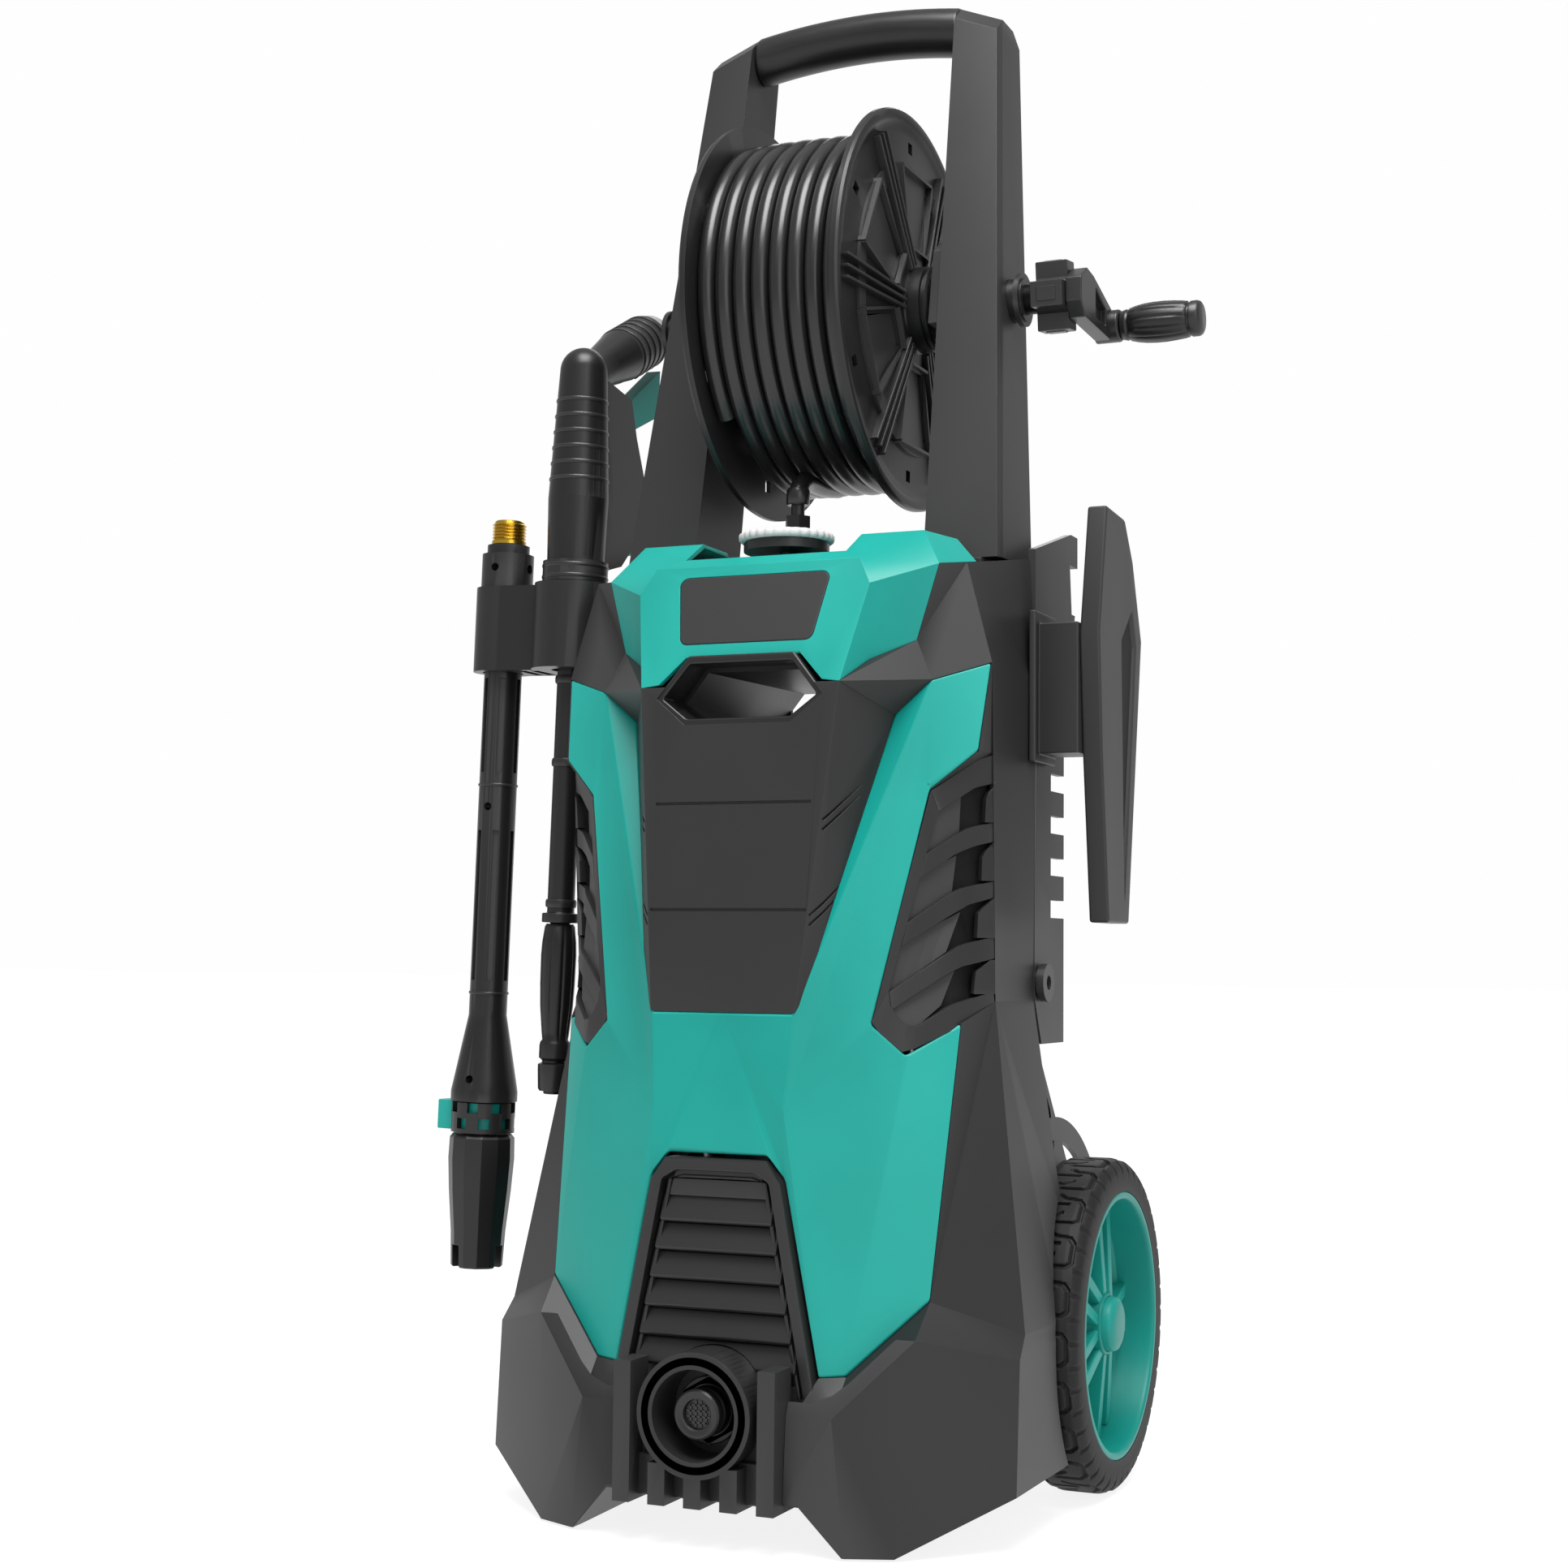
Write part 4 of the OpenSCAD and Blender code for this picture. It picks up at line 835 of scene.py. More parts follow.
class WASHER_OT_hose(bpy.types.Operator):
    """Wind two layers of hose on the drum and bend the free end down to its fitting"""
    bl_idname = "washer.hose"
    bl_label = "Hose"

    def coil(self, turns, r, x0, pitch, name):
        """Turns that lie flat at the front and step across at the back."""
        steps = 72
        path = []
        for i in range(turns * steps + 1):
            t = i / steps
            done = math.floor(t)
            part = t - done
            step = max(0.0, min(1.0, (part - 0.62) / 0.2))
            step = step * step * (3 - 2 * step)
            x = x0 + pitch * (done + step)
            if i >= (turns - 1) * steps + 0.62 * steps:
                x = x0 + pitch * (turns - 1)
            angle = TURN * t + 1.25 * math.pi
            sag = 0.25 * math.sin(3 * angle + done)
            path.append((x, *about(REEL_AT, [((r + sag) * math.sin(angle), (r + sag) * math.cos(angle))])[0]))
        return smooth_only(tube(path, sizes().hose / 2, 14, name), 60)

    def execute(self, context):
        pitch = 11.375 * MM
        outer = self.coil(8, 104.2, -44.0 * MM, pitch, "outer_turns")
        inner = self.coil(7, 94.8, -38.3 * MM, pitch, "inner_turns")
        instead(join([outer, inner], "coil"), "hose_pvc", "hose_coil", "hose_winding")
        # free end: leaves a turn at the bottom and bends down
        y0 = -34.7
        path = [(-10.6, 30, 603.5), (-10.6, 14, 600.8), (-10.6, -2, 599.6), (-10.4, -14, 599.4),
                (-10.2, -24, 598.6), (-10, -30.5, 595.6), (-10, -33.6, 591.5), (-10, y0, 587.5),
                (-10, y0, 583)]
        tail = smooth_only(tube(mm(path), 5.6 * MM, 16, "tail"), 60)
        sleeve = lathe(mm([(0, 581.7), (6.4, 581.7), (7, 582.6), (7, 590.5), (6.2, 592), (0, 592)]), "Z",
                       (-0.010, y0 * MM, 0), 32)
        instead(join([tail, smooth_only(sleeve)], "tail"), "hose_pvc", "hose_end", "hose_tail")
        return {"FINISHED"}


# ---------- crank ----------
class WASHER_OT_crank(bpy.types.Operator):
    """Make the castellated crank hub, the webbed arm and the barrel grip"""
    bl_idname = "washer.crank"
    bl_label = "Crank"

    def execute(self, context):
        core = lathe(mm([(9.1, 127.4), (12.5, 127.4), (13, 128), (13, 146.6), (12.5, 147), (9.1, 147)]),
                     "X", REEL_AT, 48)
        lugs = []
        for x0, x1, half, high in ((127.1, 146.9, 7.6, 20.6), (131.0, 143.0, 4.4, 21.4)):
            outline = about(REEL_AT, [(-half, 8), (-half, high), (half, high), (half, 8)])
            lug = rounded(plate(outline, x0 * MM, x1 * MM, "X"), 0.9 * MM)
            lugs.append(moved(around(lug, 4, "X", REEL_AT), spin(8, "X", REEL_AT)))
        instead(join([rounded(core, 0.4 * MM)] + lugs, "hub"), "nylon_black", "crank_knob", "crank_hub")
        gy, gz = 61.5, 698.8
        arm = plate(mm([(8, 721.5), (22, 720), (gy + 4, gz + 9), (gy + 8.5, gz + 3), (gy + 8.5, gz - 5),
                        (gy + 3, gz - 9.5), (14, 690.4), (4, 690.6), (-4.6, 699), (-4.6, 713)]),
                    0.1471, 0.1571, "X")
        pocket = plate(mm([(26, 714), (48, gz + 6.6), (48, gz - 3), (26, 695.5)]), 0.1535, 0.17, "X")
        arm = rounded(cut(arm, pocket), 0.9 * MM)
        boss = lathe(mm([(4.2, 147.2), (10, 147.2), (10, 161.8), (9, 163), (4.2, 163)]), "X",
                     (0, gy * MM, gz * MM), 32)
        instead(join([arm, rounded(boss, 0.4 * MM)], "arm"), "nylon_black", "crank_web", "crank_arm")
        outline = [(4.2, 0.1), (8.2, 0.1), (9, 0.6), (9.6, 3.4), (9.2, 3.9), (9.2, 5), (10.1, 5.6),
                   (11.2, 10), (12, 15), (12.4, 21), (12.4, 27), (12, 33), (11.4, 38.6), (10.9, 41.2),
                   (10.2, 41.7), (10.2, 43),
                   (10.9, 43.5), (10.9, 47.4), (10, 49), (8.4, 49.9), (0.01, 49.9), (0.01, 47.2), (4.2, 47.2)]

        def flutes(r, x, u):
            return 0.55 * max(0.0, math.cos(12 * u * TURN)) ** 4 if r > 10 and 6 < x < 41 else 0.0

        grip = carved(outline, 96, flutes, "X", (0.1635, gy * MM, gz * MM), 50)
        instead(grip, "nylon_black", "crank_barrel", "crank_grip")
        return {"FINISHED"}


# ---------- switch ----------
class WASHER_OT_dial(bpy.types.Operator):
    """Make the switch dial with its pale knurled rim and pointer"""
    bl_idname = "washer.dial"
    bl_label = "Dial"

    def execute(self, context):
        at = (0, -0.074, 0)
        foot = [(0, 524.2), (4, 524.2), (4, 546), (25, 546), (25, 551.6), (24, 552), (0, 552)]
        foot = lathe(mm(foot), "Z", at)
        instead(rounded(foot, 0.4 * MM), "nylon_black", "dial_foot", "switch_dial")
        outline = [(20, 551.8), (26.6, 551.8), (27.6, 552.6), (28, 553.6), (28, 555.4), (27.4, 556.5),
                   (26.2, 557), (22, 557), (21, 556.2), (20.6, 555), (0.01, 554.8), (0.01, 552.4),
                   (20, 552.4)]

        def knurl(r, z, u):
            return 0.8 * abs(math.cos(30 * u * math.pi)) ** 3 if r > 26 else 0.0

        rim = carved(outline, 360, knurl, "Z", at, 50)
        beside(rim, "acetal_grey", "dial_rim", "switch_dial")
        mark = rounded(block((-2, -92, 554.5), (2, -64, 556.6)), 0.6 * MM)
        beside(mark, "nylon_black", "dial_pointer", "switch_dial")
        return {"FINISHED"}


# ---------- front ----------
class WASHER_OT_grille(bpy.types.Operator):
    """Make the tapered front grille with closed slanted slats in a double frame"""
    bl_idname = "washer.grille"
    bl_label = "Grille"

    outline = ((30, 202.6), (38.6, 190.6), (57.6, 90), (51.6, 76.5))

    def half(self, z, inset):
        """Half the width of the opening at a height."""
        (x0, z0), (x1, z1) = self.outline[1:3]
        return (x0 + (x1 - x0) * (z0 - z) / (z0 - z1) - inset) * MM

    def loop(self, inset, low):
        """The outline moved in, and cut off level at the bottom."""
        right = [(x - inset, min(z, 202.6 - inset)) for x, z in self.outline[:2]]
        right += [(57.6 - inset - (low - 90) * 0.189, low)]
        return mm(right + [(-x, z) for x, z in reversed(right)])

    def execute(self, context):
        parts = []
        # outer frame and the thin inner frame, each cut out of a plate
        for inset, wide, front, back in ((0, 7, -162.8, -151), (9.4, 2.2, -159.5, -152)):
            ring = plate(self.loop(inset, 78), back * MM, front * MM, "Y")
            hole = plate(self.loop(inset + wide, 60), -0.2, -0.1, "Y")
            parts.append(rounded(cut(ring, hole), 1.3 * MM if inset == 0 else 0.6 * MM))
        parts.append(plate(self.loop(6, 84), -0.1535, -0.1512, "Y"))
        head = plate(mm([(-30, 181.5), (30, 181.5), (25, 197), (-25, 197)]), -0.152, -0.1584, "Y")
        parts.append(rounded(head, 1 * MM))
        section = ((-153, -8.4), (-160.2, -8.4), (-161.4, -6.6), (-156, 6.2), (-153, 6.2))
        for z in [176 - i * 15.4 for i in range(6)]:
            wide = self.half(z - 2, 8.6)
            slat = plate(mm([(y, z + rise) for y, rise in section]), -wide, wide, "X")
            parts.append(rounded(slat, 0.8 * MM))
        # the guard ring of the inlet reaches up into the lowest parts
        for part in parts:
            if min(v.co.z for v in part.data.vertices) < 0.104:
                cut(part, cylinder(0.0334, -0.26, 0.0, "Y", (0, 0.070)))
        grille = join(parts, "grille")
        instead(smooth_only(grille, 30), "nylon_black", "grille_slats", "front_grille")
        return {"FINISHED"}


class WASHER_OT_inlet(bpy.types.Operator):
    """Make the water inlet: guard ring, hexagon, round nose and strainer"""
    bl_idname = "washer.inlet"
    bl_label = "Inlet"

    def execute(self, context):
        at = (0, 0, 0.070)
        ring = lathe(mm([(24.1, -184.5), (25.5, -186), (31.2, -186), (33, -184.2), (33, -150), (24.1, -150)]),
                     "Y", at, 72)
        throat = lathe(mm([(13.4, -157), (24.6, -157), (24.6, -150), (13.4, -150)]), "Y", at, 48)
        back = rounded(block((-44, -174, 24), (44, -160, 46)), 1 * MM)
        ring = smooth_only(join([rounded(ring, 0.8 * MM), throat, back], "ring"), 35)
        beside(ring, "nylon_black", "inlet_ring", "inlet_surround")
        nose = lathe(mm([(8.1, -181), (9.4, -182), (12.2, -182), (13.2, -181), (13.2, -176.4), (12.2, -175.6),
                         (12.2, -173.6), (13.2, -172.8), (13.2, -166), (17.4, -166), (18, -165.4), (18, -164),
                         (13, -162), (13, -108.5), (8.1, -108.5)]), "Y", at, 48)
        start()
        bpy.ops.mesh.primitive_cylinder_add(vertices=6, radius=0.019, depth=0.012)
        stand = Matrix.Translation((0, -0.160, 0.070)) @ Matrix.Rotation(math.pi / 2, 4, "X")
        nut = moved(new_active("nut"), stand)
        nut = cut(nut, cylinder(0.0128, -0.2, -0.1, "Y", (0, 0.070)))
        instead(join([smooth_only(nose, 40), rounded(nut, 1 * MM)], "nose"), "nylon_black", "inlet_nose",
                "inlet_connector")
        bowl = [(0, -178), (7.8, -178), (7.8, -150), (6.6, -150), (6.6, -176.6), (0, -176.6)]
        bowl = lathe(mm(bowl), "Y", at, 32)
        wires = ((-4.5, 5.4), (-1.5, 7), (1.5, 7), (4.5, 5.4))
        mesh = [block((x - 0.5, -178.8, 70 - h), (x + 0.5, -177.5, 70 + h)) for x, h in wires]
        mesh += [block((-h, -178.8, 70 + z - 0.5), (h, -177.5, 70 + z + 0.5)) for z, h in wires]
        strainer = join([smooth_only(bowl)] + mesh, "strainer")
        instead(strainer, "nylon_black", "inlet_strainer", "inlet_filter")
        return {"FINISHED"}


class WASHER_OT_trim(bpy.types.Operator):
    """Add the rolled frame round the hand grip and the bearing ledges on the posts"""
    bl_idname = "washer.trim"
    bl_label = "Trim"

    def flared(self, near, far, lo, hi):
        """A plate whose outline changes from near to far."""
        obj = plate(near, lo, hi, "Y")
        for vert in obj.data.vertices:
            if vert.co.y > (lo + hi) / 2:
                gaps = [math.hypot(x - vert.co.x, z - vert.co.z) for x, z in near]
                vert.co.x, vert.co.z = far[gaps.index(min(gaps))]
        return obj

    def execute(self, context):
        lip = plate(grip_hexagon(1.6), -0.1375, -0.1245, "Y")
        lip = cut(lip, plate(grip_hexagon(-3.2), -0.15, -0.11, "Y"))
        for vert in lip.data.vertices:
            # the frame leans with the panel that carries it
            vert.co.y += 0.094 * (vert.co.z - 0.46) - 0.001
        lip = rounded(lip, 1.2 * MM, 3)
        beside(lip, "nylon_black", "grip_frame", "grip_tunnel")
        # the duct behind it flares towards the back
        back = {"flare": 1.3, "rise": 1.14, "low": 22.5}
        duct = self.flared(grip_hexagon(-0.4), grip_hexagon(-0.4, **back), -0.130, 0.0575)
        duct = cut(duct, plate(grip_hexagon(-2.6), -0.135, -0.112, "Y"),
                   self.flared(grip_hexagon(-5.4), grip_hexagon(-2.6, **back), -0.114, 0.0585))
        instead(smooth_only(duct, 20), "abs_dark", "grip_duct", "grip_tunnel")
        # stiffening webs that cross the floor of the duct
        webs = [plate(mm([(x - 1.2, -100), (x + 1.2, -100), (x * 1.25 + 1.2, 50), (x * 1.25 - 1.2, 50)]),
                      0.4325, 0.4435, "Z") for x in (-27, -9, 9, 27)]
        beside(rounded(join(webs, "webs"), 0.4 * MM), "abs_dark", "grip_webs", "grip_tunnel")
        for side in ("right", "left"):
            ledge = plate(mm([(-16.6, 690), (-12.2, 713), (-8, 737), (4, 752), (10, 752), (10, 690)]),
                          0.0652, 0.076, "X")
            for vert in ledge.data.vertices:
                if vert.co.x < 0.07 and vert.co.z > 0.745:
                    vert.co.x += 6 * MM
            ledge = rounded(ledge, 0.9 * MM)
            if side == "left":
                ledge = mirrored(ledge)
            beside(ledge, "abs_dark", "ledge_" + side, "post_" + side)
        return {"FINISHED"}


# ---------- lance and gun ----------
LEAN = Matrix.Translation((-0.166, -0.026, 0.543)) @ Matrix.Rotation(math.radians(1.7), 4, "Y")
ORIGIN = (0, 0, 0)


def leaned(obj):
    """Moves a piece of the gun, made on the origin, onto the leaning rack."""
    return moved(obj, LEAN)


def hung(obj):
    """Moves a piece of the spare lance, made on the origin, to its place beside the gun."""
    return moved(obj, LEAN @ Matrix.Translation((-0.056, 0.012, 0)))


class WASHER_OT_lance(bpy.types.Operator):
    """Make the spare lance: brass thread, drilled collar, slotted tube, selector and nozzle"""
    bl_idname = "washer.lance"
    bl_label = "Spare lance"

    def execute(self, context):
        body = from_node("lance_tube", "tube")
        holes = [hung(cylinder(0.0032, -0.03, 0.03, "X", (0, 0.0125)))]
        holes += [hung(cylinder(0.0026, -0.03, 0.03, "Y", (0, z * MM))) for z in (12.5, -140, -312)]
        body = rounded(cut(body, *holes), 0.6 * MM, 2, 28, 35)
        trim = hung(rings((-126, -258), 12, 1.6, 0.7))
        instead(join([body, smooth_only(trim)], "tube"), "nylon_black", "lance_barrel", "lance_tube")
        thread = [(3.1, 10), (4.9, 10), (4.9, 28.2), (10.4, 28.2), (11, 28.8), (11, 31), (9.8, 31.6)]
        for z in [32 + 2.1 * i for i in range(5)]:
            thread += [(9.7, z), (10.8, z + 0.7), (10.8, z + 1.1), (9.7, z + 1.8)]
        thread += [(9.4, 43.4), (8.9, 44), (6.4, 44), (5.9, 43.2), (5.9, 37), (3.1, 36)]
        thread = smooth_only(lathe(mm(thread), "Z", ORIGIN, 40), 25)
        instead(hung(thread), "brass_turned", "lance_thread", "lance_inlet")
        inner = lathe(mm([(12.1, -344.6), (16, -344.6), (16, -327), (12.1, -327)]), "Z", ORIGIN, 40)
        tab = rounded(block((-30, -6, -345), (-15, 6, -326.6)), 0.8 * MM)
        ring = join([rounded(inner, 0.4 * MM), tab], "ring")
        instead(hung(ring), "abs_teal", "selector_ring", "lance_selector")
        # black crown round the ring, with two rows of windows and a slot for the tab
        crown = lathe(mm([(16.4, -345.6), (20, -345.6), (20, -326.8), (16.4, -326.8)]), "Z", ORIGIN, 48)
        gaps = []
        for low, high, turn in ((-333, -326, 10), (-343, -336.4, 32)):
            gap = around(block((12, -3.6, low), (26, 3.6, high)), 8, "Z", ORIGIN)
            gaps.append(moved(gap, Matrix.Rotation(math.radians(turn), 4, "Z")))
        gaps.append(block((-32, -6.4, -346), (-12, 6.4, -325)))
        crown = rounded(cut(crown, *gaps), 0.5 * MM)
        beside(hung(crown), "nylon_black", "selector_crown", "lance_selector")
        cone = lathe(mm([(9.1, -430), (15.4, -430), (16.3, -429), (17.2, -408), (19.6, -382), (20.8, -362),
                         (20.4, -349), (18.4, -346.6), (9.1, -346.6)]), "Z", ORIGIN, 12)
        mouth = around(block((4, -4, -431), (24, 4, -416)), 3, "Z", ORIGIN)
        cone = rounded(cut(cone, mouth), 0.8 * MM, 2, 20, 35)
        instead(hung(cone), "nylon_black", "lance_cone", "lance_nozzle")
        return {"FINISHED"}


class WASHER_OT_gun(bpy.types.Operator):
    """Make the spray gun: ribbed barrel and grip, levers, sleeve and tip"""
    bl_idname = "washer.gun"
    bl_label = "Spray gun"

    def execute(self, context):
        body = rounded(from_node("gun_body", "body"), 1.6 * MM, 2, 25, 45)
        bands = leaned(rings((4, 11), 20, 2.4, 0.9))
        ribs = [rings((h,), 19 - (h - 54) * 0.0488 - 0.3, 2.2, 0.9) for h in (66, 76, 86, 96, 106, 116)]
        ribs = leaned(join(ribs, "ribs"))
        body = join([body, smooth_only(bands), smooth_only(ribs)], "gun")
        instead(body, "nylon_black", "gun_shell", "gun_body")
        grip = rounded(from_node("gun_grip", "grip"), 1.6 * MM, 2, 25, 45)
        turn = Matrix.Translation((0, 0.004, 0.134)) @ Matrix.Rotation(math.radians(28 - 90), 4, "X")
        bands = [rings((h,), 17, 2.4, 0.8) for h in (52, 60, 68, 76, 84)]
        # the bands stop at the groove that the trigger closes into
        for band in bands:
            cut(band, block((-6.5, 6, 40), (6.5, 30, 100)))
        bands = leaned(moved(smooth_only(join(bands, "bands")), turn))
        instead(join([grip, bands], "grip"), "nylon_black", "gun_handle", "gun_grip")
        for node in ("gun_trigger", "trigger_latch"):
            lever = rounded(from_node(node, node + "_lever"), 1.2 * MM, 2, 25, 40)
            instead(lever, "abs_teal", node + "_lever", node)
        wand = rounded(from_node("gun_lance", "lance"), 0.8 * MM)
        cuffs = leaned(rings((-20, -60, -112, -200), 8.5, 5, 1.2))
        instead(join([wand, smooth_only(cuffs)], "wand"), "nylon_black", "gun_wand", "gun_lance")
        outline = [(6.1, -212.7), (8.4, -212.7), (9.4, -214.4), (10.6, -224), (11, -232), (10.8, -250),
                   (10.2, -264), (8.6, -280), (8, -284.4), (9.2, -286), (9.6, -288), (9.6, -295.6),
                   (7.6, -297.4), (7.6, -298.4), (10, -299.6), (10, -303), (9.4, -314.6), (8.6, -316),
                   (6.1, -316)]

        def flutes(r, z, u):
            return 0.8 * max(0.0, math.cos(8 * u * TURN)) ** 6 if r > 8.5 and -283 < z < -216 else 0.0

        sleeve = carved(outline, 96, flutes, "Z", ORIGIN, 45)
        instead(leaned(sleeve), "nylon_black", "gun_sleeve", "gun_nozzle")
        return {"FINISHED"}


class WASHER_OT_panel(bpy.types.Operator):
    """Cut the paired grooves that turn up across the sides of the centre panel"""
    bl_idname = "washer.panel"
    bl_label = "Centre panel"

    def execute(self, context):
        panel = from_node("centre_panel", "panel")
        for vert in panel.data.vertices:
            # the lower edge of the grip opening sits higher
            if abs(vert.co.x) < 0.0335 and 0.431 < vert.co.z < 0.4345:
                vert.co += Vector((0, 0.0007, 0.0075))
        lines = (((54.4, -145.6, 385.7), (75, -118, 413.5)), ((54.3, -145.6, 380.4), (74, -119.4, 407)),
                 ((49.7, -151, 333.7), (66, -129, 357)), ((49.6, -151, 328.5), (65, -130.6, 350.4)))
        for low, high in lines:
            for side in (1, -1):
                path = mm([(side * x, y, z) for x, y, z in (low, high)])
                groove = beam(path, 1.5 * MM, 3 * MM, (side * 0.82, -0.57, 0.0))
                panel = cut(panel, moved(groove, Matrix.Translation((-side * 0.0008, 0.0006, 0))))
        panel = rounded(panel, 0.6 * MM, 2, 20)
        instead(panel, "abs_dark", "centre_panel_shell", "centre_panel")
        # near-black sheet on the floor of the long pocket in the cord hook: painted shade of the recess
        floor = plate(mm([(37, 353), (58.6, 500), (51.6, 517), (31.4, 498)]), 0.1690, 0.1698, "X")
        beside(floor, "void_black", "hook_pocket", "hook_blade")
        return {"FINISHED"}


# ---------- side vents ----------
class WASHER_OT_vents(bpy.types.Operator):
    """Make the side vents: sunk pockets, slanted bars and a stepped border over a near-black duct sheet,
    which is painted shade inside the vents
    """
    bl_idname = "washer.vents"
    bl_label = "Vents"

    top, arm, back_top = (104, -113, 403), (128, -101, 425), (131, -86, 425)
    back_low, low, tip, inner = (130, -77, 288), (120, -105, 276), (97, -130, 259), (80, -137, 275)
    # each bar runs between an upper and a lower line, from the front to the back
    bars = (
        (((104.5, -112.5, 402.9), (125.7, -93.8, 421.2), (131, -86, 424)),
         ((107.4, -108.5, 391.5), (123.2, -92.8, 405.4), (130.6, -85, 408))),
        (((102.3, -115.2, 367.8), (117, -98.8, 380.9), (121.2, -93.4, 383.7), (130.6, -83.4, 386.7)),
         ((100.1, -117.5, 354.6), (115, -99.5, 369), (123, -90.4, 373.5), (130.6, -82.6, 375.9))),
        (((95, -122.9, 330.7), (114.1, -102.4, 347.9), (118.1, -95, 350.5), (130.3, -81.2, 354.4)),
         ((92.9, -125.6, 317.7), (115, -102, 336.4), (119.9, -92.4, 341.1), (130, -80.6, 345))),
        (((87.8, -131, 293.1), (113.3, -108.6, 314.5), (118.2, -99, 319.1), (130, -79.2, 323.6)),
         ((89.3, -131, 283.3), (111.4, -111.6, 301.4), (118.1, -102, 306.8), (130, -78.4, 311.6))),
        (((104.5, -112.5, 402.9), (92, -125, 339), (80, -136.9, 275.6)),
         ((107.4, -108.7, 391.5), (97.6, -120.4, 342), (87.8, -131.2, 293.1))),
        (((87.8, -131.2, 293.1), (89.3, -131.4, 283.3), (99.4, -126.4, 272.9), (115.5, -108.9, 286.3),
          (129.6, -79, 293.6)),
         ((80, -136.9, 277), (82, -136, 272.5), (96.4, -130.2, 260), (116, -109.4, 272.4),
          (129.7, -77.4, 287))))
    floors = (
        (((106, -111, 394), (117.8, -98, 403)), ((101, -116.4, 366), (116.8, -98, 381))),
        (((99, -118.4, 356), (115.6, -99, 368)), ((94, -124, 329), (114, -101.6, 348))),
        (((92, -126.6, 319), (117.6, -97.6, 337)), ((87, -131.6, 292), (113.4, -108.8, 315))),
        (((88.6, -131.4, 285), (116.6, -104, 305)), ((99, -126.6, 271), (112, -112.6, 286))))
    steps = (((133, -82, 409.1), (127.8, -88.2, 401.8), (126.9, -87.9, 386.5)),
             ((131, -82, 376.3), (125.5, -88, 368.6), (124.9, -87.6, 354.3)),
             ((130.3, -80.9, 345), (123.4, -88.2, 337.2), (122.7, -88.2, 322.9)),
             ((128.2, -80.6, 310.9), (122.9, -90.8, 304.4), (122.6, -93, 292.1)))
    way = Vector((0.72, -0.69, 0))

    def resample(self, line, n):
        """Evenly spaced points along a line."""
        points = [Vector(p) for p in line]
        spans = [(b - a).length for a, b in zip(points, points[1:])]
        out = []
        for i in range(n + 1):
            left = sum(spans) * i / n
            for (a, b), span in zip(zip(points, points[1:]), spans):
                if left <= span + 0.001:
                    out.append(a.lerp(b, min(1.0, left / span)))
                    break
                left -= span
        return out

    def strip(self, upper, lower, out, into, n=12):
        """A closed slab between two lines, standing out from and reaching into the wall."""
        a, b = self.resample(upper, n), self.resample(lower, n)

        def place(u, v):
            i, side = round(u * (n + 2)), round(v * 4) % 4
            k = min(max(i - 1, 0), n)
            over, under = self.way * out, self.way * into
            corners = [a[k] + over, b[k] + over, b[k] - under, a[k] - under]
            point = sum(corners, Vector()) / 4 if i in (0, n + 2) else corners[side]
            return point * MM

        return outward(wrapped(n + 2, 4, place, "strip"))

    def slab(self, points, out, into):
        """A flat piece through the points, standing out from and reaching into the wall."""
        start()
        bpy.ops.mesh.primitive_circle_add(vertices=len(points), fill_type="NGON")
        obj = new_active("slab")
        for vert, p in zip(obj.data.vertices, points):
            vert.co = (Vector(p) + self.way * out) * MM
        edit(obj)
        bpy.ops.mesh.extrude_region_move(TRANSFORM_OT_translate={"value": self.way * (-out - into) * MM})
        close()
        return outward(obj)

    def execute(self, context):
        border = (self.arm, self.back_top, self.back_low, self.low, self.tip, self.inner)
        # the near-black duct behind the bars is painted shade: it stands for the dark inside of the machine
        duct = join([self.slab((self.top, a, b), -8.0, 9.5) for a, b in zip(border, border[1:])], "duct")
        parts = [rounded(self.strip(up, down, 0.1, 4.5), 0.5 * MM, 2, 30, 30) for up, down in self.bars]
        parts.append(rounded(self.slab((self.top, self.arm, self.back_top), 0.0, 4.0), 0.4 * MM))
        for up, down in self.floors:
            parts.append(self.strip(up, down, -2.4, 5.0, 4))
        for line in self.steps:
            edge = [(130 + (z - 288) / 137, -77.2 - 9 * (z - 288) / 137, z) for x, y, z in line]
            parts.append(rounded(self.strip(line, edge, 0.5, 4.0, 6), 0.4 * MM))
        louvres = join(parts, "louvres")
        pair(louvres, "abs_dark", "vent_{}_louvres", "vent_{}")
        # the duct sheets carry the near-black painted shade
        beside(mirror_x(duct, "left"), "void_black", "vent_left_duct", "vent_left")
        beside(duct, "void_black", "vent_right_duct", "vent_right")
        return {"FINISHED"}


# ---------- add-on ----------
STEPS = (WASHER_OT_stage, WASHER_OT_housings, WASHER_OT_tyres, WASHER_OT_wheels, WASHER_OT_reel,
         WASHER_OT_hose, WASHER_OT_crank, WASHER_OT_dial, WASHER_OT_grille, WASHER_OT_inlet,
         WASHER_OT_trim, WASHER_OT_lance, WASHER_OT_gun, WASHER_OT_panel, WASHER_OT_vents,
         WASHER_OT_paint)


class WASHER_PT_panel(bpy.types.Panel):
    """Buttons that make the pressure washer piece by piece"""
    bl_idname = "WASHER_PT_panel"
    bl_label = "Pressure washer"
    bl_space_type = "VIEW_3D"
    bl_region_type = "UI"
    bl_category = "Washer"

    def draw(self, context):
        scene = context.scene
        for group in (scene.washer_finish, scene.washer_sizes):
            for key in group.__annotations__:
                self.layout.prop(group, key)
        for step in STEPS:
            self.layout.operator(step.bl_idname)


CLASSES = (WasherFinish, WasherSizes, *STEPS, WASHER_PT_panel)


def register():
    """Adds the settings, the operators and the panel to Blender."""
    for cls in CLASSES:
        bpy.utils.register_class(cls)
    bpy.types.Scene.washer_finish = bpy.props.PointerProperty(type=WasherFinish)
    bpy.types.Scene.washer_sizes = bpy.props.PointerProperty(type=WasherSizes)


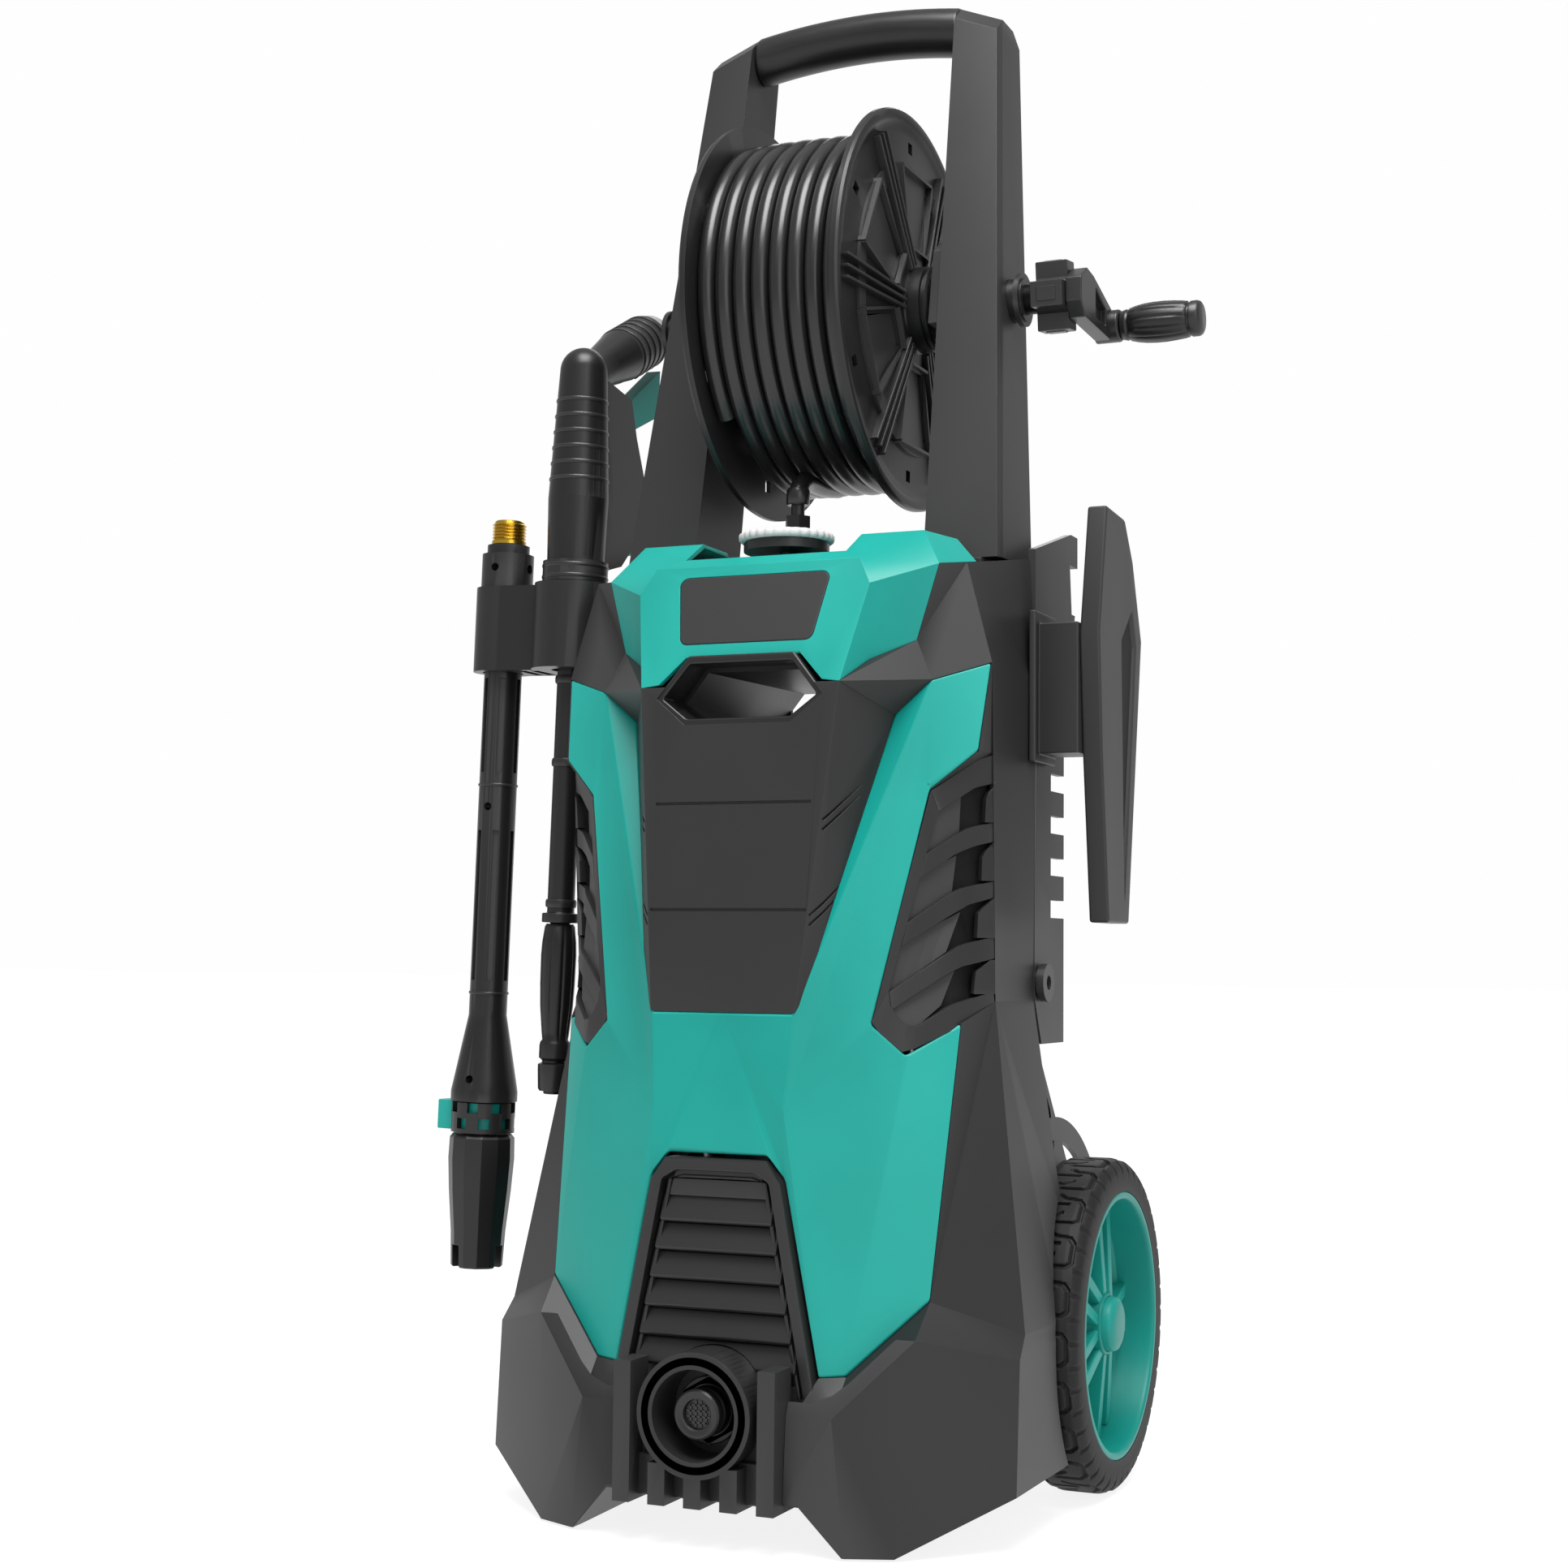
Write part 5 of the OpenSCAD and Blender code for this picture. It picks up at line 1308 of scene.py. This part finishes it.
def unregister():
    """Takes them away again."""
    del bpy.types.Scene.washer_sizes
    del bpy.types.Scene.washer_finish
    for cls in reversed(CLASSES):
        bpy.utils.unregister_class(cls)


def main():
    """Makes the pressure washer."""
    register()
    for step in STEPS:
        group, action = step.bl_idname.split(".")
        getattr(getattr(bpy.ops, group), action)()


if __name__ == "__main__":
    main()
